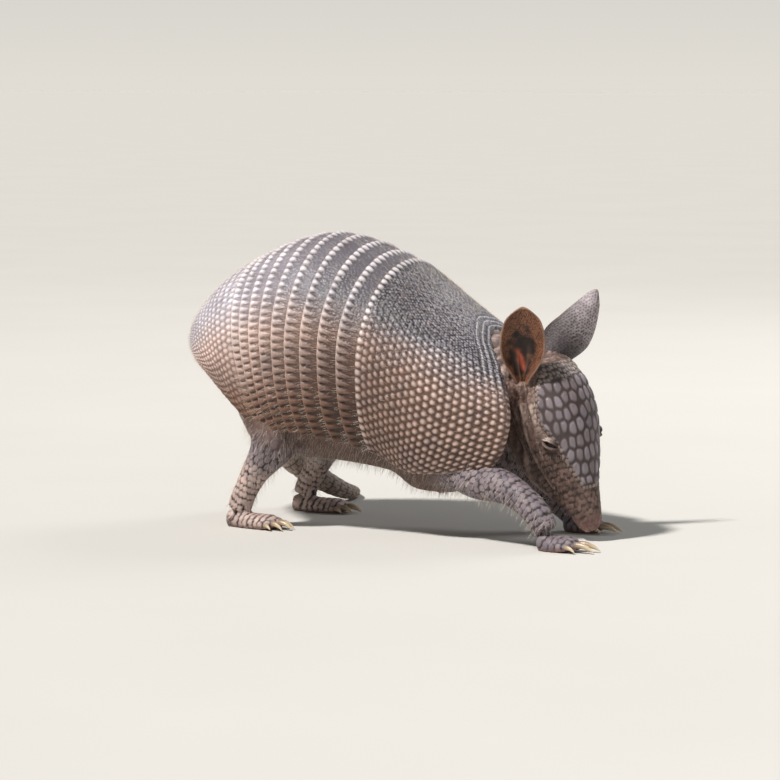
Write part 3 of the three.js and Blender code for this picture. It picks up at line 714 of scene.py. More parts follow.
def build_head_shield():
    """The flat plates of the forehead, as the cells round a loose lattice of points."""
    size, long = 0.24, 54
    rows, columns = int(long / size), int(44 / size)
    v = np.linspace(HEAD_PLATE["from"], HEAD_PLATE["to"], rows)
    share = np.linspace(-1, 1, columns)
    row = np.linspace(0, 1, rows)
    spread = np.radians(through(HEAD_PLATE["spread"], row))[:, None]
    angles = spread * share[None]
    along = through(HEAD["x"], v)[:, None] + 0 * angles
    girth = 0.5 * (through(HEAD["half_width"], v) + through(HEAD["rise"], v))[:, None] + 1
    across = angles * girth
    tall, wide = 5.9, 3.8
    r, c = along / tall, across / wide
    seeds_best, seeds_next = np.full(r.shape, 1e9), np.full(r.shape, 1e9)
    number = np.zeros(r.shape)
    for dj in (-2, -1, 0, 1, 2):
        for di in (-1, 0, 1):
            j = np.floor(r) + dj
            stagger = 0.5 * np.mod(j, 2)
            i = np.round(c - stagger) + di
            jr = 0.50 * (cell_noise(j, i, 21) - 0.5)
            jc = 0.50 * (cell_noise(j, i, 22) - 0.5)
            away = np.hypot((c - stagger - i - jc) * wide, (r - j - jr) * wide)
            closer = away < seeds_best
            seeds_next = np.where(closer, seeds_best, np.minimum(seeds_next, away))
            number = np.where(closer, cell_noise(j, i, 23), number)
            seeds_best = np.minimum(seeds_best, away)
    gap = seeds_next - seeds_best
    plate = smooth(0.1, 1.7, gap) * smooth(2.3, 1.1 + 0.3 * number, seeds_best)
    side_mm = (1 - np.abs(share))[None] * spread * girth
    edge_mm = np.minimum(side_mm, np.minimum(row, 1 - row)[:, None] * long)
    skirt = smooth(0.0, 1.6, edge_mm)
    # Small scales take over towards the crown, the sides and the snout.
    away, chance = lattice(along / 2.1, across / 1.6, 2.1, 1.6, jitter=0.5, seed=27)
    small = 1 - smooth(0.30, 0.62, away / 1.8)
    waver = np.sin(across * 0.9) + np.sin(along * 1.3 + across * 0.5)
    crown = smooth(10.0, 8.6, along + 0.5 * waver)
    rim = np.maximum(crown, smooth(2.9, 1.9, edge_mm + 0.25 * waver))
    number = number * (1 - rim) + chance * rim
    plate = plate * (1 - rim) + small * rim * (0.55 + 0.45 * chance)
    out = 0.22 + 0.26 * plate * skirt + 0.28 * skirt + 0.16 * plate * (1 - rim) * dome(seeds_best, 2.6)
    out = out - 2.0 * (1 - smooth(0, 0.6, edge_mm))
    points = skull(v[:, None], angles, out)
    uv = np.stack(np.meshgrid(np.linspace(0.01, 0.99, columns), np.linspace(0.01, 0.99, rows)), -1)
    masks = {"plate": plate, "number": number, "crown": crown, "rim": rim * (1 - crown)}
    faces = grid_faces(rows, columns)
    piece = make_object("head_shield_plates", points, faces, masks, uv)
    face_outward(piece, in_head((30, 0, 0)))
    return piece


def face_outward(piece, inside):
    """Turns a sheet's faces over if they look towards a point inside it."""
    mesh = piece.data
    centre = Vector(metres(inside))
    facing = sum((p.center - centre).dot(p.normal) * p.area for p in mesh.polygons)
    if facing < 0:
        mesh.flip_normals()


def head_material():
    shader = Shader("Head plates", roughness=0.5)
    plate, number = shader.attribute("plate"), shader.attribute("number")
    mottle, fine = shader.noise(150, 3), shader.noise(1100, 3, 0.6)
    flat = shader.mix(number, srgb(100, 92, 98), srgb(148, 140, 149))
    flat = shader.mix(shader.ramp(mottle, (0.35, 0), (0.65, 0.6)), flat, srgb(104, 88, 82))
    flat = shader.mix(shader.attribute("rim") * 0.7, flat, srgb(146, 126, 114))
    flat = shader.mix(shader.attribute("crown") * 0.8, flat, srgb(150, 134, 123))
    colour = shader.mix(shader.ramp(plate, (0.0, 0), (1.0, 1)), srgb(60, 48, 46), flat)
    shader.set(Base_Color=colour, Roughness=shader.ramp(fine, (0.3, 0.4), (0.7, 0.6)))
    shader.set(Normal=shader.bump(fine, 0.2, 0.0003))
    return shader.material


# ---------------------------------------------------------------- the tail


def build_tail():
    """The tail's rings, each a raised sleeve of two rows of scutes, down to a plain tip."""
    count = 420
    centre = curve_points(TAIL_PATH, count)
    run = np.concatenate([[0], np.cumsum(np.linalg.norm(np.diff(centre, axis=0), axis=1))])
    share = run / run[-1]
    way, side, top = path_frames(centre, (-1, 0, 0.3))
    radius = through(TAIL_RADIUS, share)
    ring = 7.4 - 3.4 * share
    phase = np.concatenate([[0], np.cumsum(np.diff(run) / ring[1:])])
    sides = 112
    angle = np.linspace(0, 2 * np.pi, sides, endpoint=False)[None]
    within = (phase % 1)[:, None]
    number = np.floor(phase)[:, None]
    around = np.maximum(np.round(2 * np.pi * radius / 3.0), 9)[:, None]
    column = angle / (2 * np.pi) * around
    scute = (column + 0.5 * (within > 0.5)) % 1
    seam = smooth(0.34, 0.5, np.abs(scute - 0.5))
    hump = np.sin(np.pi * np.clip(within * 1.08, 0, 1)) ** 0.35
    row = dome(np.abs((within * 2) % 1 - 0.45), 0.62, 0.6)
    plain = smooth(0.80, 0.92, share)[:, None]
    bead = row * (1 - seam) * (1 - plain)
    out = (hump * 0.55 + within * 0.25 + bead * 0.32) * (1 - 0.5 * plain) * np.minimum(radius / 6, 1)[:, None] - 0.5
    tip = np.sqrt(np.clip((1 - share) / 0.012, 0, 1))
    reach = ((radius[:, None] + out) * tip[:, None])[..., None]
    points = centre[:, None] + reach * (np.cos(angle)[..., None] * side[:, None] + np.sin(angle)[..., None] * top[:, None])
    points[..., 2] = np.maximum(points[..., 2], -ORIGIN[2] + 0.02)
    masks = {"plate": bead, "groove": (1 - hump) + 0 * angle, "number": cell_noise(number, np.floor(column), 4)}
    uv = np.stack(np.meshgrid(np.linspace(0.01, 0.99, sides), np.linspace(0.01, 0.99, count)), -1)
    faces = outward(points.reshape(-1, 3), grid_faces(count, sides, closed=True))
    return make_object("tail_rings", points, faces, masks, uv)


def tail_material():
    shader = Shader("Tail rings", roughness=0.55)
    plate, groove, number = (shader.attribute(k) for k in ("plate", "groove", "number"))
    mottle, fine = shader.noise(140, 3), shader.noise(1000, 3, 0.6)
    flat = shader.mix(number, srgb(150, 132, 122), srgb(186, 168, 156))
    colour = shader.mix(shader.ramp(plate, (0.1, 0), (0.8, 1)), srgb(92, 70, 62), flat)
    colour = shader.mix(groove, colour, srgb(60, 44, 38))
    colour = shader.mix(shader.ramp(mottle, (0.4, 0), (0.7, 0.35)), colour, srgb(90, 72, 60))
    shader.set(Base_Color=colour, Roughness=shader.ramp(fine, (0.3, 0.45), (0.7, 0.65)))
    shader.set(Normal=shader.bump(fine, 0.25, 0.0003))
    return shader.material


# ---------------------------------------------------------------- the skin


def end_loops(loops, last, steps):
    """Loops that round off a row of loops past its first or last one. Each step is a size and a push."""
    rim = loops[-1 if last else 0]
    middle = rim.mean(0)
    way = unit(middle - loops[-2 if last else 1].mean(0))
    return [middle + (rim - middle) * size + way * push for size, push in steps]


def trunk_loops(rows=70, sides=120):
    u = np.linspace(0.004, 0.985, rows)[:, None]
    angle = np.linspace(-np.pi, np.pi, sides, endpoint=False)[None]
    margin = np.radians(through(BODY["margin"], u))
    bare = smooth(margin + 0.05, margin + 0.4, np.abs(angle))
    return barrel(u, angle, -SHELL_DEPTH * (1 - 0.75 * bare)), u + 0 * angle, angle + 0 * u


def head_loops(rows=64, sides=72):
    v = np.linspace(0, 1, rows)[:, None]
    angle = np.linspace(0, 2 * np.pi, sides, endpoint=False)[None]
    loops = skull(v, angle)
    x = through(HEAD["x"], v)[..., None]
    middle = loops.mean(1, keepdims=True)
    blunt = np.sqrt(np.clip(1 - (np.clip(x - 67.5, 0, None) / 5.5) ** 2, 0, 1))
    return middle + (loops - middle) * blunt


def neck_loops(rows=26, sides=72):
    share = np.linspace(-0.12, 1, rows)[:, None]
    angle = np.linspace(0, 2 * np.pi, sides, endpoint=False)[None]
    full = smooth(1.35, 2.1, np.minimum(angle, 2 * np.pi - angle))
    waist = (NECK["waist"] - NECK["cheek"] * full) * np.sin(np.pi * np.clip(share, 0, 1))
    back = barrel(NECK["from"] + 0 * share, angle, -NECK["inset"] - waist)
    front = skull(NECK["to"] + 0 * share, angle, -1.5 - waist)
    return back + (front - back) * share[..., None]


def limb_path(name):
    """The path down a limb and on over its paw, with radii: an array of x, y, z, r."""
    _, heading, joints = LIMBS[name]
    paw = FORE_PAW if name.startswith("fore") else HIND_PAW
    x, y, _, r = joints[-1]
    c, s = math.cos(math.radians(heading)), math.sin(math.radians(heading))
    reach = paw["length"] * 1.6
    return np.array([*joints, (x + reach * c, y + reach * s, paw["rise"] * 0.6, paw["half_width"])], float)


def toe_frame(name, toe):
    """A toe's root on the floor and the level way it points."""
    side, heading, joints = LIMBS[name]
    spread, across = toe[:2]
    paw = FORE_PAW if name.startswith("fore") else HIND_PAW
    h, t = math.radians(heading), math.radians(spread)
    forward = np.array([math.cos(h), math.sin(h), 0])
    inward = np.array([math.sin(h), -math.cos(h), 0]) * side
    root = np.array([joints[-1][0], joints[-1][1], 0]) + forward * paw["length"] + inward * across
    return root, forward * math.cos(t) + inward * math.sin(t)


def toe_loops(name, toe):
    root, way = toe_frame(name, toe)
    _, _, length, r, _ = toe
    up = np.array([0, 0, 1])
    path = [root + way * -5 + up * r * 1.3, root + way * length * 0.1 + up * r * 1.35,
            root + way * length * 0.62 + up * r * 1.2, root + way * (length - 0.2) + up * r * 0.95]
    loops = tube(path, [r * 0.9, r * 1.04, r * 1.12, r * 0.74], 14, 14)
    return np.stack([*loops, *end_loops(loops, True, [(0.7, 0.5)])])


def paw_loops(name):
    _, heading, joints = LIMBS[name]
    paw = FORE_PAW if name.startswith("fore") else HIND_PAW
    x, y, z, wrist = joints[-1]
    c, s = math.cos(math.radians(heading)), math.sin(math.radians(heading))
    share = np.linspace(-0.3, 1.15, 14)[:, None]
    angle = np.linspace(0, 2 * np.pi, 28, endpoint=False)[None]
    blend = smooth(-0.2, 0.6, share)
    half = (wrist * 0.8 * (1 - blend) + paw["half_width"] * blend) * (1 - 0.16 * smooth(0.7, 1.15, share))
    height = z * 0.6 * (1 - blend) + paw["rise"] * 0.96 * blend
    across = half * np.cos(angle)
    tall = height * 0.62 + height * 0.9 * np.sin(angle)
    on = share * paw["length"]
    return np.stack([x + on * c - across * s, y + on * s + across * c, tall], -1)


def leg_loops(name):
    joints = np.array(LIMBS[name][2], float)
    return tube(joints[:, :3], joints[:, 3], 40, 32)


def eye_frame(side):
    """An eye's centre, the way it looks, the way its slit runs and the way across that."""
    x, y, z = EYE_AT
    look = unit(np.array([0.10, 0.90 * side, 0.42]) @ HEAD_TURN.T)
    slit = np.array([math.cos(EYE_SLANT), 0, math.sin(EYE_SLANT)]) @ HEAD_TURN.T
    slit = unit(slit - look * (slit @ look))
    return in_head((x, y * side, z)), look, slit, np.cross(look, slit)


def ball_loops(centre, radius, rows=16, sides=24):
    polar = np.linspace(0.02, np.pi - 0.02, rows)[:, None]
    angle = np.linspace(0, 2 * np.pi, sides, endpoint=False)[None]
    ring = np.stack([np.sin(polar) * np.cos(angle), np.sin(polar) * np.sin(angle), np.cos(polar) + 0 * angle], -1)
    return np.asarray(centre) + radius * ring


def throat_loops():
    path = np.array(THROAT, float)
    return tube(in_head(path[:, :3]), path[:, 3], 30, 36)


def cheek_loops(side):
    path = [skull(v, side * angle, out) for v, angle, out, _ in CHEEK_ROLL]
    return tube(path, [r for *_, r in CHEEK_ROLL], 30, 28)


def ear_root_loops(name):
    """The flesh round the foot of an ear."""
    ear = EARS[name]
    root = np.array(ear["root"], float)
    axis = unit(np.array(ear["tip"]) - root)
    ahead = unit(np.array(ear["facing"]))
    path = [root - ahead * 3 - axis * 12, root - ahead - axis * 6, root + ahead * 1.2 - axis * 1.5, root + ahead * 1.6 + axis * 3]
    return tube(path, [4.4, 4.4, 4.0, 2.6], 20, 24)


LID_RADIUS = EYE_RADIUS + 0.95


def flesh_parts():
    """The closed lofts that the skin is wrapped round, the trunk first."""
    trunk, _, _ = trunk_loops()
    rump = end_loops(trunk, False, [(0.45, 3.0), (0.8, 1.8)])
    parts = [np.stack([*rump, *trunk]), head_loops(), neck_loops(), throat_loops()]
    parts += [ear_root_loops(name) for name in EARS]
    for name in LIMBS:
        paw = FORE_PAW if name.startswith("fore") else HIND_PAW
        parts += [leg_loops(name), paw_loops(name)] + [toe_loops(name, toe) for toe in paw["toes"]]
    for side in EYE_SIDES.values():
        parts += [cheek_loops(side), ball_loops(eye_frame(side)[0], LID_RADIUS)]
    return parts


def neighbour_mean(points, edges, counts):
    total = np.stack([np.bincount(edges[:, 0], points[edges[:, 1], k], len(points))
                      + np.bincount(edges[:, 1], points[edges[:, 0], k], len(points)) for k in range(3)], -1)
    return total / counts[:, None]


def mesh_points(mesh):
    points = np.empty(len(mesh.vertices) * 3, np.float32)
    mesh.vertices.foreach_get("co", points)
    return points.reshape(-1, 3).astype(float)


def mesh_normals(mesh):
    normals = np.empty(len(mesh.vertices) * 3, np.float32)
    mesh.vertex_normals.foreach_get("vector", normals)
    return normals.reshape(-1, 3).astype(float)


def relax(mesh, points, times, share=0.5, hold=None):
    """Evens out points along the mesh's edges. The held ones move less."""
    edges = np.empty(len(mesh.edges) * 2, np.int32)
    mesh.edges.foreach_get("vertices", edges)
    edges = edges.reshape(-1, 2)
    counts = np.maximum(np.bincount(edges.ravel(), minlength=len(points)), 1)
    share = share if hold is None else share * (1 - hold)[:, None]
    for _ in range(times):
        points = points + (neighbour_mean(points, edges, counts) - points) * share
    return points


def wrapped(parts, voxel):
    """One even mesh, in millimetres, wrapped round all the parts together."""
    points, faces, start = [], [], 0
    for loops in parts:
        p, f = closed_loft(loops)
        points.append(p)
        faces.append(f + start)
        start += len(p)
    mesh = bpy.data.meshes.new("flesh")
    mesh.from_pydata(np.vstack(points).tolist(), [], np.vstack(faces).tolist())
    lump = bpy.data.objects.new("flesh", mesh)
    bpy.context.scene.collection.objects.link(lump)
    remesh = lump.modifiers.new("wrap", "REMESH")
    remesh.mode, remesh.voxel_size, remesh.adaptivity = "VOXEL", voxel, 0
    even = bpy.data.meshes.new_from_object(lump.evaluated_get(bpy.context.evaluated_depsgraph_get()))
    bpy.data.objects.remove(lump)
    bpy.data.meshes.remove(mesh)
    return even


def fine_spots():
    """Where the skin needs a finer mesh: a point, a reach and how many times its faces are divided."""
    spots = [(eye_frame(side)[0], EYE_RADIUS + 3.0, 2) for side in EYE_SIDES.values()]
    return spots + [(in_head((72, 0, 0)), 6.5, 1)]


def body_share(points):
    """For each point, the nearest place on the trunk as u and angle, and how far off it is."""
    loops, u, angle = trunk_loops(90, 160)
    rows, sides = u.shape
    tree = BVHTree.FromPolygons(loops.reshape(-1, 3).tolist(), grid_faces(rows, sides, closed=True).tolist())
    index = np.empty(len(points), int)
    away = np.empty(len(points))
    for k, p in enumerate(points.tolist()):
        _, _, index[k], away[k] = tree.find_nearest(p)
    row, column = index // sides, index % sides
    return u[row, 0], angle[0, column], away


def limb_places(points, name):
    """For each point, how far down a limb it is, its angle round it, its distance and the limb's radius."""
    joints = limb_path(name)
    count = 120
    line = curve_points(joints[:, :3], count)
    way, side, top = path_frames(line, (1, 0, 0.2))
    run = np.concatenate([[0], np.cumsum(np.linalg.norm(np.diff(line, axis=0), axis=1))])
    radius = through(joints[:, 3], np.linspace(0, 1, count))
    low, high = line.min(0) - 16, line.max(0) + 16
    near = np.flatnonzero(((points > low) & (points < high)).all(1))
    away = np.linalg.norm(points[near, None] - line[None], axis=2)
    k = away.argmin(1)
    offset = points[near] - line[k]
    round_it = np.arctan2((offset * side[k]).sum(1), (offset * top[k]).sum(1))
    down = run[k] + (offset * way[k]).sum(1)
    return near, down, round_it, away[np.arange(len(near)), k], radius[k], run[-1]


def grain(points, size, seed=0.0):
    """Smooth random values from -1 to 1 that change over about the size given."""
    scaled = (points / size + seed).tolist()
    return np.fromiter((noise.noise(p) for p in scaled), float, len(scaled))


def cells(points, size, seed=0.0):
    """The gap to the second nearest of a cloud of random points, less the first: 0 on cell borders."""
    scaled = (points / size + seed).tolist()
    found = (noise.voronoi(p)[0] for p in scaled)
    return np.fromiter((d[1] - d[0] for d in found), float, len(scaled))


def blend_colour(base, colour, share):
    return base + (np.asarray(colour) - base) * np.asarray(share)[..., None]


def lattice_scales(down, round_it, radius, tall, columns, seed):
    """Scales over a limb: how raised a point is, from 0 in a seam to 1, and its scale's number."""
    wide = 2 * np.pi * radius / columns
    away, number = lattice(down / tall, round_it / (2 * np.pi) * columns, tall, wide, jitter=0.25, seed=seed)
    size = np.sqrt(tall * wide)
    return 1 - smooth(0.40, 0.58, away / size), number


# Each fold behind the cheek: its angle round the head, how that grows down the head, from and to
# where on it, its height and half its width in millimetres.
NECK_FOLDS = [(1.34, 0.0185, 4, 50, 0.9, 0.75), (1.30, 0.0, 7, 22, 0.5, 0.6), (1.75, 0.022, 0, 40, 0.8, 0.9)]


def skin_marks(points, normals, props):
    """How far each point of the skin moves out, and its colour."""
    count = len(points)
    out, colour = np.zeros(count), np.zeros((count, 3))
    u, angle, away = body_share(points)
    broad, fine = grain(points, 9.0), grain(points, 2.2, 5.0)
    pebble = smooth(0.02, 0.35, cells(points, 1.5, 3.0))
    # The belly colour, partly painted shade, is the skin's starting colour.
    colour[:] = tuple(props.belly)
    colour = blend_colour(colour, srgb(96, 74, 64), 0.35 + 0.35 * broad)
    out += 0.16 * pebble + 0.10 * fine
    colour = colour * (0.70 + 0.30 * pebble)[:, None]

    # The neck, drawn into folds that run round it, from the shell's mouth to the ears. The folds' crests carry painted
    # highlights and their troughs painted shade.
    head = to_head(points)
    vs = np.linspace(0, 1, 200)
    v = np.interp(head[:, 0], through(HEAD["x"], vs), vs)
    wide = through(HEAD["half_width"], v)
    deep = np.where(head[:, 2] > 0, through(HEAD["rise"], v), through(HEAD["drop"], v))
    turn = np.arctan2(head[:, 1] / wide, head[:, 2] / deep)
    radial = np.hypot(head[:, 1] / wide, head[:, 2] / deep)
    on_neck = smooth(0.90, 0.97, u) * (away < 40)
    front = (head[:, 0] > -14) & (radial < 2.2)
    on_neck = np.where(front, np.maximum(on_neck, 1 - smooth(1.7, 2.2, radial)), on_neck)
    ring, forward, _, _ = ring_frame(np.array([NECK["from"]]))
    past_shell = np.clip((points - ring[0]) @ forward[0], 0.5, None)
    past_shell = past_shell / (past_shell + np.clip(through(HEAD["x"], NECK["to"]) - head[:, 0], 0.5, None))
    folds = 0.5 + 0.5 * np.sin(2 * np.pi * (7.5 * past_shell + 0.55 * broad + 0.2 * fine))
    # Painted light and shade: the folds' crests take the neck colour, their troughs a dark brown.
    neck = blend_colour(np.tile(srgb(84, 66, 60), (count, 1)), tuple(props.neck), 0.15 + 0.85 * folds**2)
    neck = neck * (0.6 + 0.4 * pebble)[:, None]
    colour = blend_colour(colour, neck, on_neck)
    out += on_neck * (0.5 * folds**2 - 0.35 + 0.16 * pebble + 0.12 * fine)

    # The head: small flat scales along the snout, wrinkled skin over the cheeks.
    on_head = smooth(1.62, 1.36, radial) * smooth(-0.02, 0.02, v) * (head[:, 0] < 76) * (head[:, 0] > -1)
    on_head *= (np.abs(head[:, 1]) < 24)
    girth = 0.5 * (wide + deep)
    tall, broad_scale = 2.4, 1.9
    away_scale, number = lattice(head[:, 0] / tall, turn * girth / broad_scale, tall, broad_scale, jitter=0.5, seed=31)
    scale = 1 - smooth(0.40, 0.58, away_scale / 2.15)
    snout = smooth(0.40, 0.58, v)
    brow = smooth(0.95, 1.05, np.abs(turn)) * smooth(1.42, 1.30, np.abs(turn)) * smooth(0.5, 0.4, v)
    cheek_lines = 0.5 + 0.5 * np.sin(turn * girth * 1.5 + 1.4 * broad + 0.10 * head[:, 0])
    face = blend_colour(np.tile(srgb(58, 42, 38), (count, 1)), tuple(props.face), 0.45 + 0.55 * pebble)
    rolls = smooth(1.25, 1.5, np.abs(turn)) * smooth(0.62, 0.45, v)
    face = blend_colour(face, srgb(158, 130, 118) * (0.5 + 0.5 * pebble)[:, None], rolls * 0.8)
    face = face * (1 - 0.45 * (1 - cheek_lines**2) * (1 - snout))[:, None]
    scaled = blend_colour(np.tile(srgb(48, 34, 30), (count, 1)), srgb(130, 105, 95), scale * (0.45 + 0.55 * number))
    face = blend_colour(face, scaled, snout * 0.9)
    pale_scales = blend_colour(np.tile(srgb(92, 70, 61), (count, 1)), srgb(200, 180, 166), scale * (0.6 + 0.4 * number))
    face = blend_colour(face, pale_scales, brow * 0.8)
    nose = smooth(64, 71, head[:, 0])
    face = blend_colour(face, tuple(props.snout), nose * 0.85)
    colour = blend_colour(colour, face, on_head)
    scaly = np.maximum(snout * (1 - nose), brow)
    relief = (1 - scaly) * (0.42 * cheek_lines**2 + 0.16 * pebble) + scaly * 0.17 * scale
    plated = np.radians(through(HEAD_PLATE["spread"], np.interp(v, (HEAD_PLATE["from"], HEAD_PLATE["to"]), (0, 1))))
    covered = smooth(0.4, 1.4, (plated - np.abs(turn)) * girth) * smooth(HEAD_PLATE["from"], HEAD_PLATE["from"] + 0.02, v)
    covered *= smooth(HEAD_PLATE["to"], HEAD_PLATE["to"] - 0.02, v)
    out = out * (1 - on_head) + on_head * (relief * (1 - covered) - 0.35 * covered)

    # Two long folds of skin run from under the ear down behind the cheek, each with a painted highlight on its crest
    # and painted shade in the groove beside it.
    for place, turning, low, high, height, width in NECK_FOLDS:
        bend = place + turning * (head[:, 0] - 6)
        fold = np.exp(-(((np.abs(turn) - bend) * girth / width) ** 2)) * (radial < 1.7)
        fold *= smooth(low - 5, low + 3, head[:, 0]) * smooth(high + 8, high - 4, head[:, 0])
        out += fold * height
        # Painted highlight along each fold's crest.
        colour = blend_colour(colour, srgb(188, 164, 152), fold * (0.45 + 0.3 * fine + 0.15 * pebble))
    for place, turning, low, high, _, width in NECK_FOLDS:
        bend = place + turning * (head[:, 0] - 6) + 2.1 * width / girth
        groove = np.exp(-(((np.abs(turn) - bend) * girth / width) ** 2)) * (radial < 1.7)
        groove *= smooth(low - 5, low + 3, head[:, 0]) * smooth(high + 8, high - 4, head[:, 0])
        out -= groove * 0.45
        # Painted shade in the groove beside each fold.
        colour = blend_colour(colour, srgb(52, 38, 34), groove * 0.7)

    # The wrinkled flesh at the foot of each ear.
    for ear in EARS.values():
        root, ahead = np.array(ear["root"]), unit(np.array(ear["facing"]))
        offset = points - root
        foot = smooth(10.0, 6.0, np.linalg.norm(offset - ahead * 2, axis=1))
        across = offset @ unit(np.cross(ahead, np.array(ear["tip"]) - root))
        crease = 0.5 + 0.5 * np.sin(2 * np.pi * across / 1.7 + 2.2 * fine + 1.5 * broad)
        colour = blend_colour(colour, srgb(158, 124, 111) * (0.35 + 0.65 * crease * pebble)[:, None], foot * 0.85)
        out += foot * (0.45 * crease - 0.2)

    # The mouth's line and the nostrils.
    lip = head[:, 2] + 3.0 + (72 - head[:, 0]) * 0.07
    mouth = np.exp(-((lip / 0.45) ** 2)) * smooth(50, 56, head[:, 0]) * smooth(1.5, 1.2, radial)
    out -= mouth * 0.8
    colour = blend_colour(colour, srgb(40, 26, 24), mouth * 0.8)
    for side in EYE_SIDES.values():
        hole = np.linalg.norm((head - (72.4, side * 1.9, 0.9)) / (1.6, 0.95, 0.8), axis=1)
        hole = smooth(1.35, 0.55, hole)
        out -= hole * 1.1
        colour = blend_colour(colour, srgb(22, 12, 12), hole)

    # The legs and feet, with their scales.
    for seed, name in enumerate(LIMBS):
        near, down, round_it, off, radius, whole = limb_places(points, name)
        columns = 15 if name.startswith("fore") else 16
        raised, number = lattice_scales(down, round_it, np.maximum(radius, 4), 2.7, columns, 40 + seed)
        from_top = smooth(8, 20, down) if name.startswith("fore") else smooth(10, 24, down)
        on_limb = smooth(1.7, 1.25, off / radius) * from_top * (u[near] < 0.99)
        on_limb *= 1 - on_head[near]
        pale = 0.0 if name.startswith("fore") else smooth(22, 34, down) * 0.85
        flat = blend_colour(np.tile(props.scale, (len(near), 1)), srgb(196, 172, 162), pale + 0.25 * (number - 0.5))
        flat = np.clip(flat, 0, 1)
        limb = blend_colour(np.tile(props.seam, (len(near), 1)), flat, raised)
        colour[near] = blend_colour(colour[near], limb, on_limb)
        out[near] = out[near] * (1 - on_limb) + on_limb * (0.27 * raised + 0.05)
    under = smooth(-0.3, -0.8, normals[:, 2]) * smooth(6, 3, points[:, 2])
    colour = blend_colour(colour, srgb(150, 116, 106), under * 0.8)
    return out, np.clip(colour, 0.003, 1)


def open_ears(points):
    """Lays back the flesh before the foot of each ear, so that the ear opens right down to its root."""
    for ear in EARS.values():
        root, facing = np.array(ear["root"], float), unit(np.array(ear["facing"], float))
        offset = points - root
        ahead = offset @ facing
        beside = np.linalg.norm(offset - ahead[:, None] * facing, axis=1)
        above = offset @ unit(np.array(ear["tip"]) - root)
        share = smooth(8.0, 3.0, beside) * smooth(2.0, 5.0, above) * (ahead < 14)
        points = points - facing * (np.clip(ahead - 1.2, 0, None) * share)[:, None]
    return points


def shape_lids(points, colour):
    """Lays the lids over each eyeball, with wrinkles round them and a narrow slit between them. The upper lid and the
    rim below the slit carry painted highlights, the slit painted shade.
    """
    for side in EYE_SIDES.values():
        centre, look, slit, across = eye_frame(side)
        offset = points - centre
        radius = np.linalg.norm(offset, axis=1)
        way = offset / np.maximum(radius, 1e-6)[:, None]
        s, t = way @ slit * EYE_RADIUS, way @ across * EYE_RADIUS
        front = smooth(-0.1, 0.35, way @ look)
        reach = np.hypot(s, t)
        near = front * smooth(LID_RADIUS + 2.4, LID_RADIUS + 0.6, radius)
        at = np.flatnonzero(near > 0)
        waver = np.zeros(len(points))
        waver[at] = grain(points[at], 0.8, 9.0)
        half, gape = 2.75, 0.74
        arc = gape * np.clip(1 - (s / half) ** 2, 0, 1) ** 0.7
        bend = t + 0.16 * (s / half) ** 2
        inside = np.where(np.abs(s) < half, arc - np.abs(bend), -np.hypot(np.abs(s) - half, bend)) + 0.16 * waver
        opening = smooth(-0.10, 0.10, inside)
        rim = np.exp(-(((inside + 0.36) / 0.24) ** 2))
        wrinkle = (0.5 - 0.5 * np.cos(2 * np.pi * (inside + 0.45) / 0.62)) ** 2 * smooth(-0.5, -0.8, inside)
        lid = EYE_RADIUS + 0.95 + 0.26 * rim - 0.26 * wrinkle - 0.35 * smooth(1.6, 3.0, reach)
        wanted = lid * (1 - opening) + (EYE_RADIUS - 0.5) * opening
        share = near * smooth(3.2, 2.75, reach)
        new_radius = radius + (wanted - radius) * share
        points = centre + way * new_radius[:, None]
        # Painted highlight on the upper lid towards the back of the head, and on the rim below the slit.
        upper = smooth(-0.3, 0.7, -side * t)
        pale = upper * smooth(1.9, -0.8, s)
        lid_colour = blend_colour(np.tile(srgb(84, 65, 58), (len(points), 1)), srgb(184, 166, 157), pale)
        colour = colour + (lid_colour - colour) * (share * 0.85 * (1 - opening))[:, None]
        colour = blend_colour(colour, srgb(140, 120, 112), share * rim * 0.4 * (1 - upper))
        colour = blend_colour(colour, srgb(58, 42, 38), wrinkle * share * (0.65 - 0.3 * pale))
        socket = near * np.exp(-(((reach - 3.15) / 0.22) ** 2))
        colour = blend_colour(colour, srgb(48, 34, 30), socket * 0.55)
        # Painted shade in the slit between the lids.
        colour = blend_colour(colour, srgb(14, 9, 8), opening * share)
    return points, colour


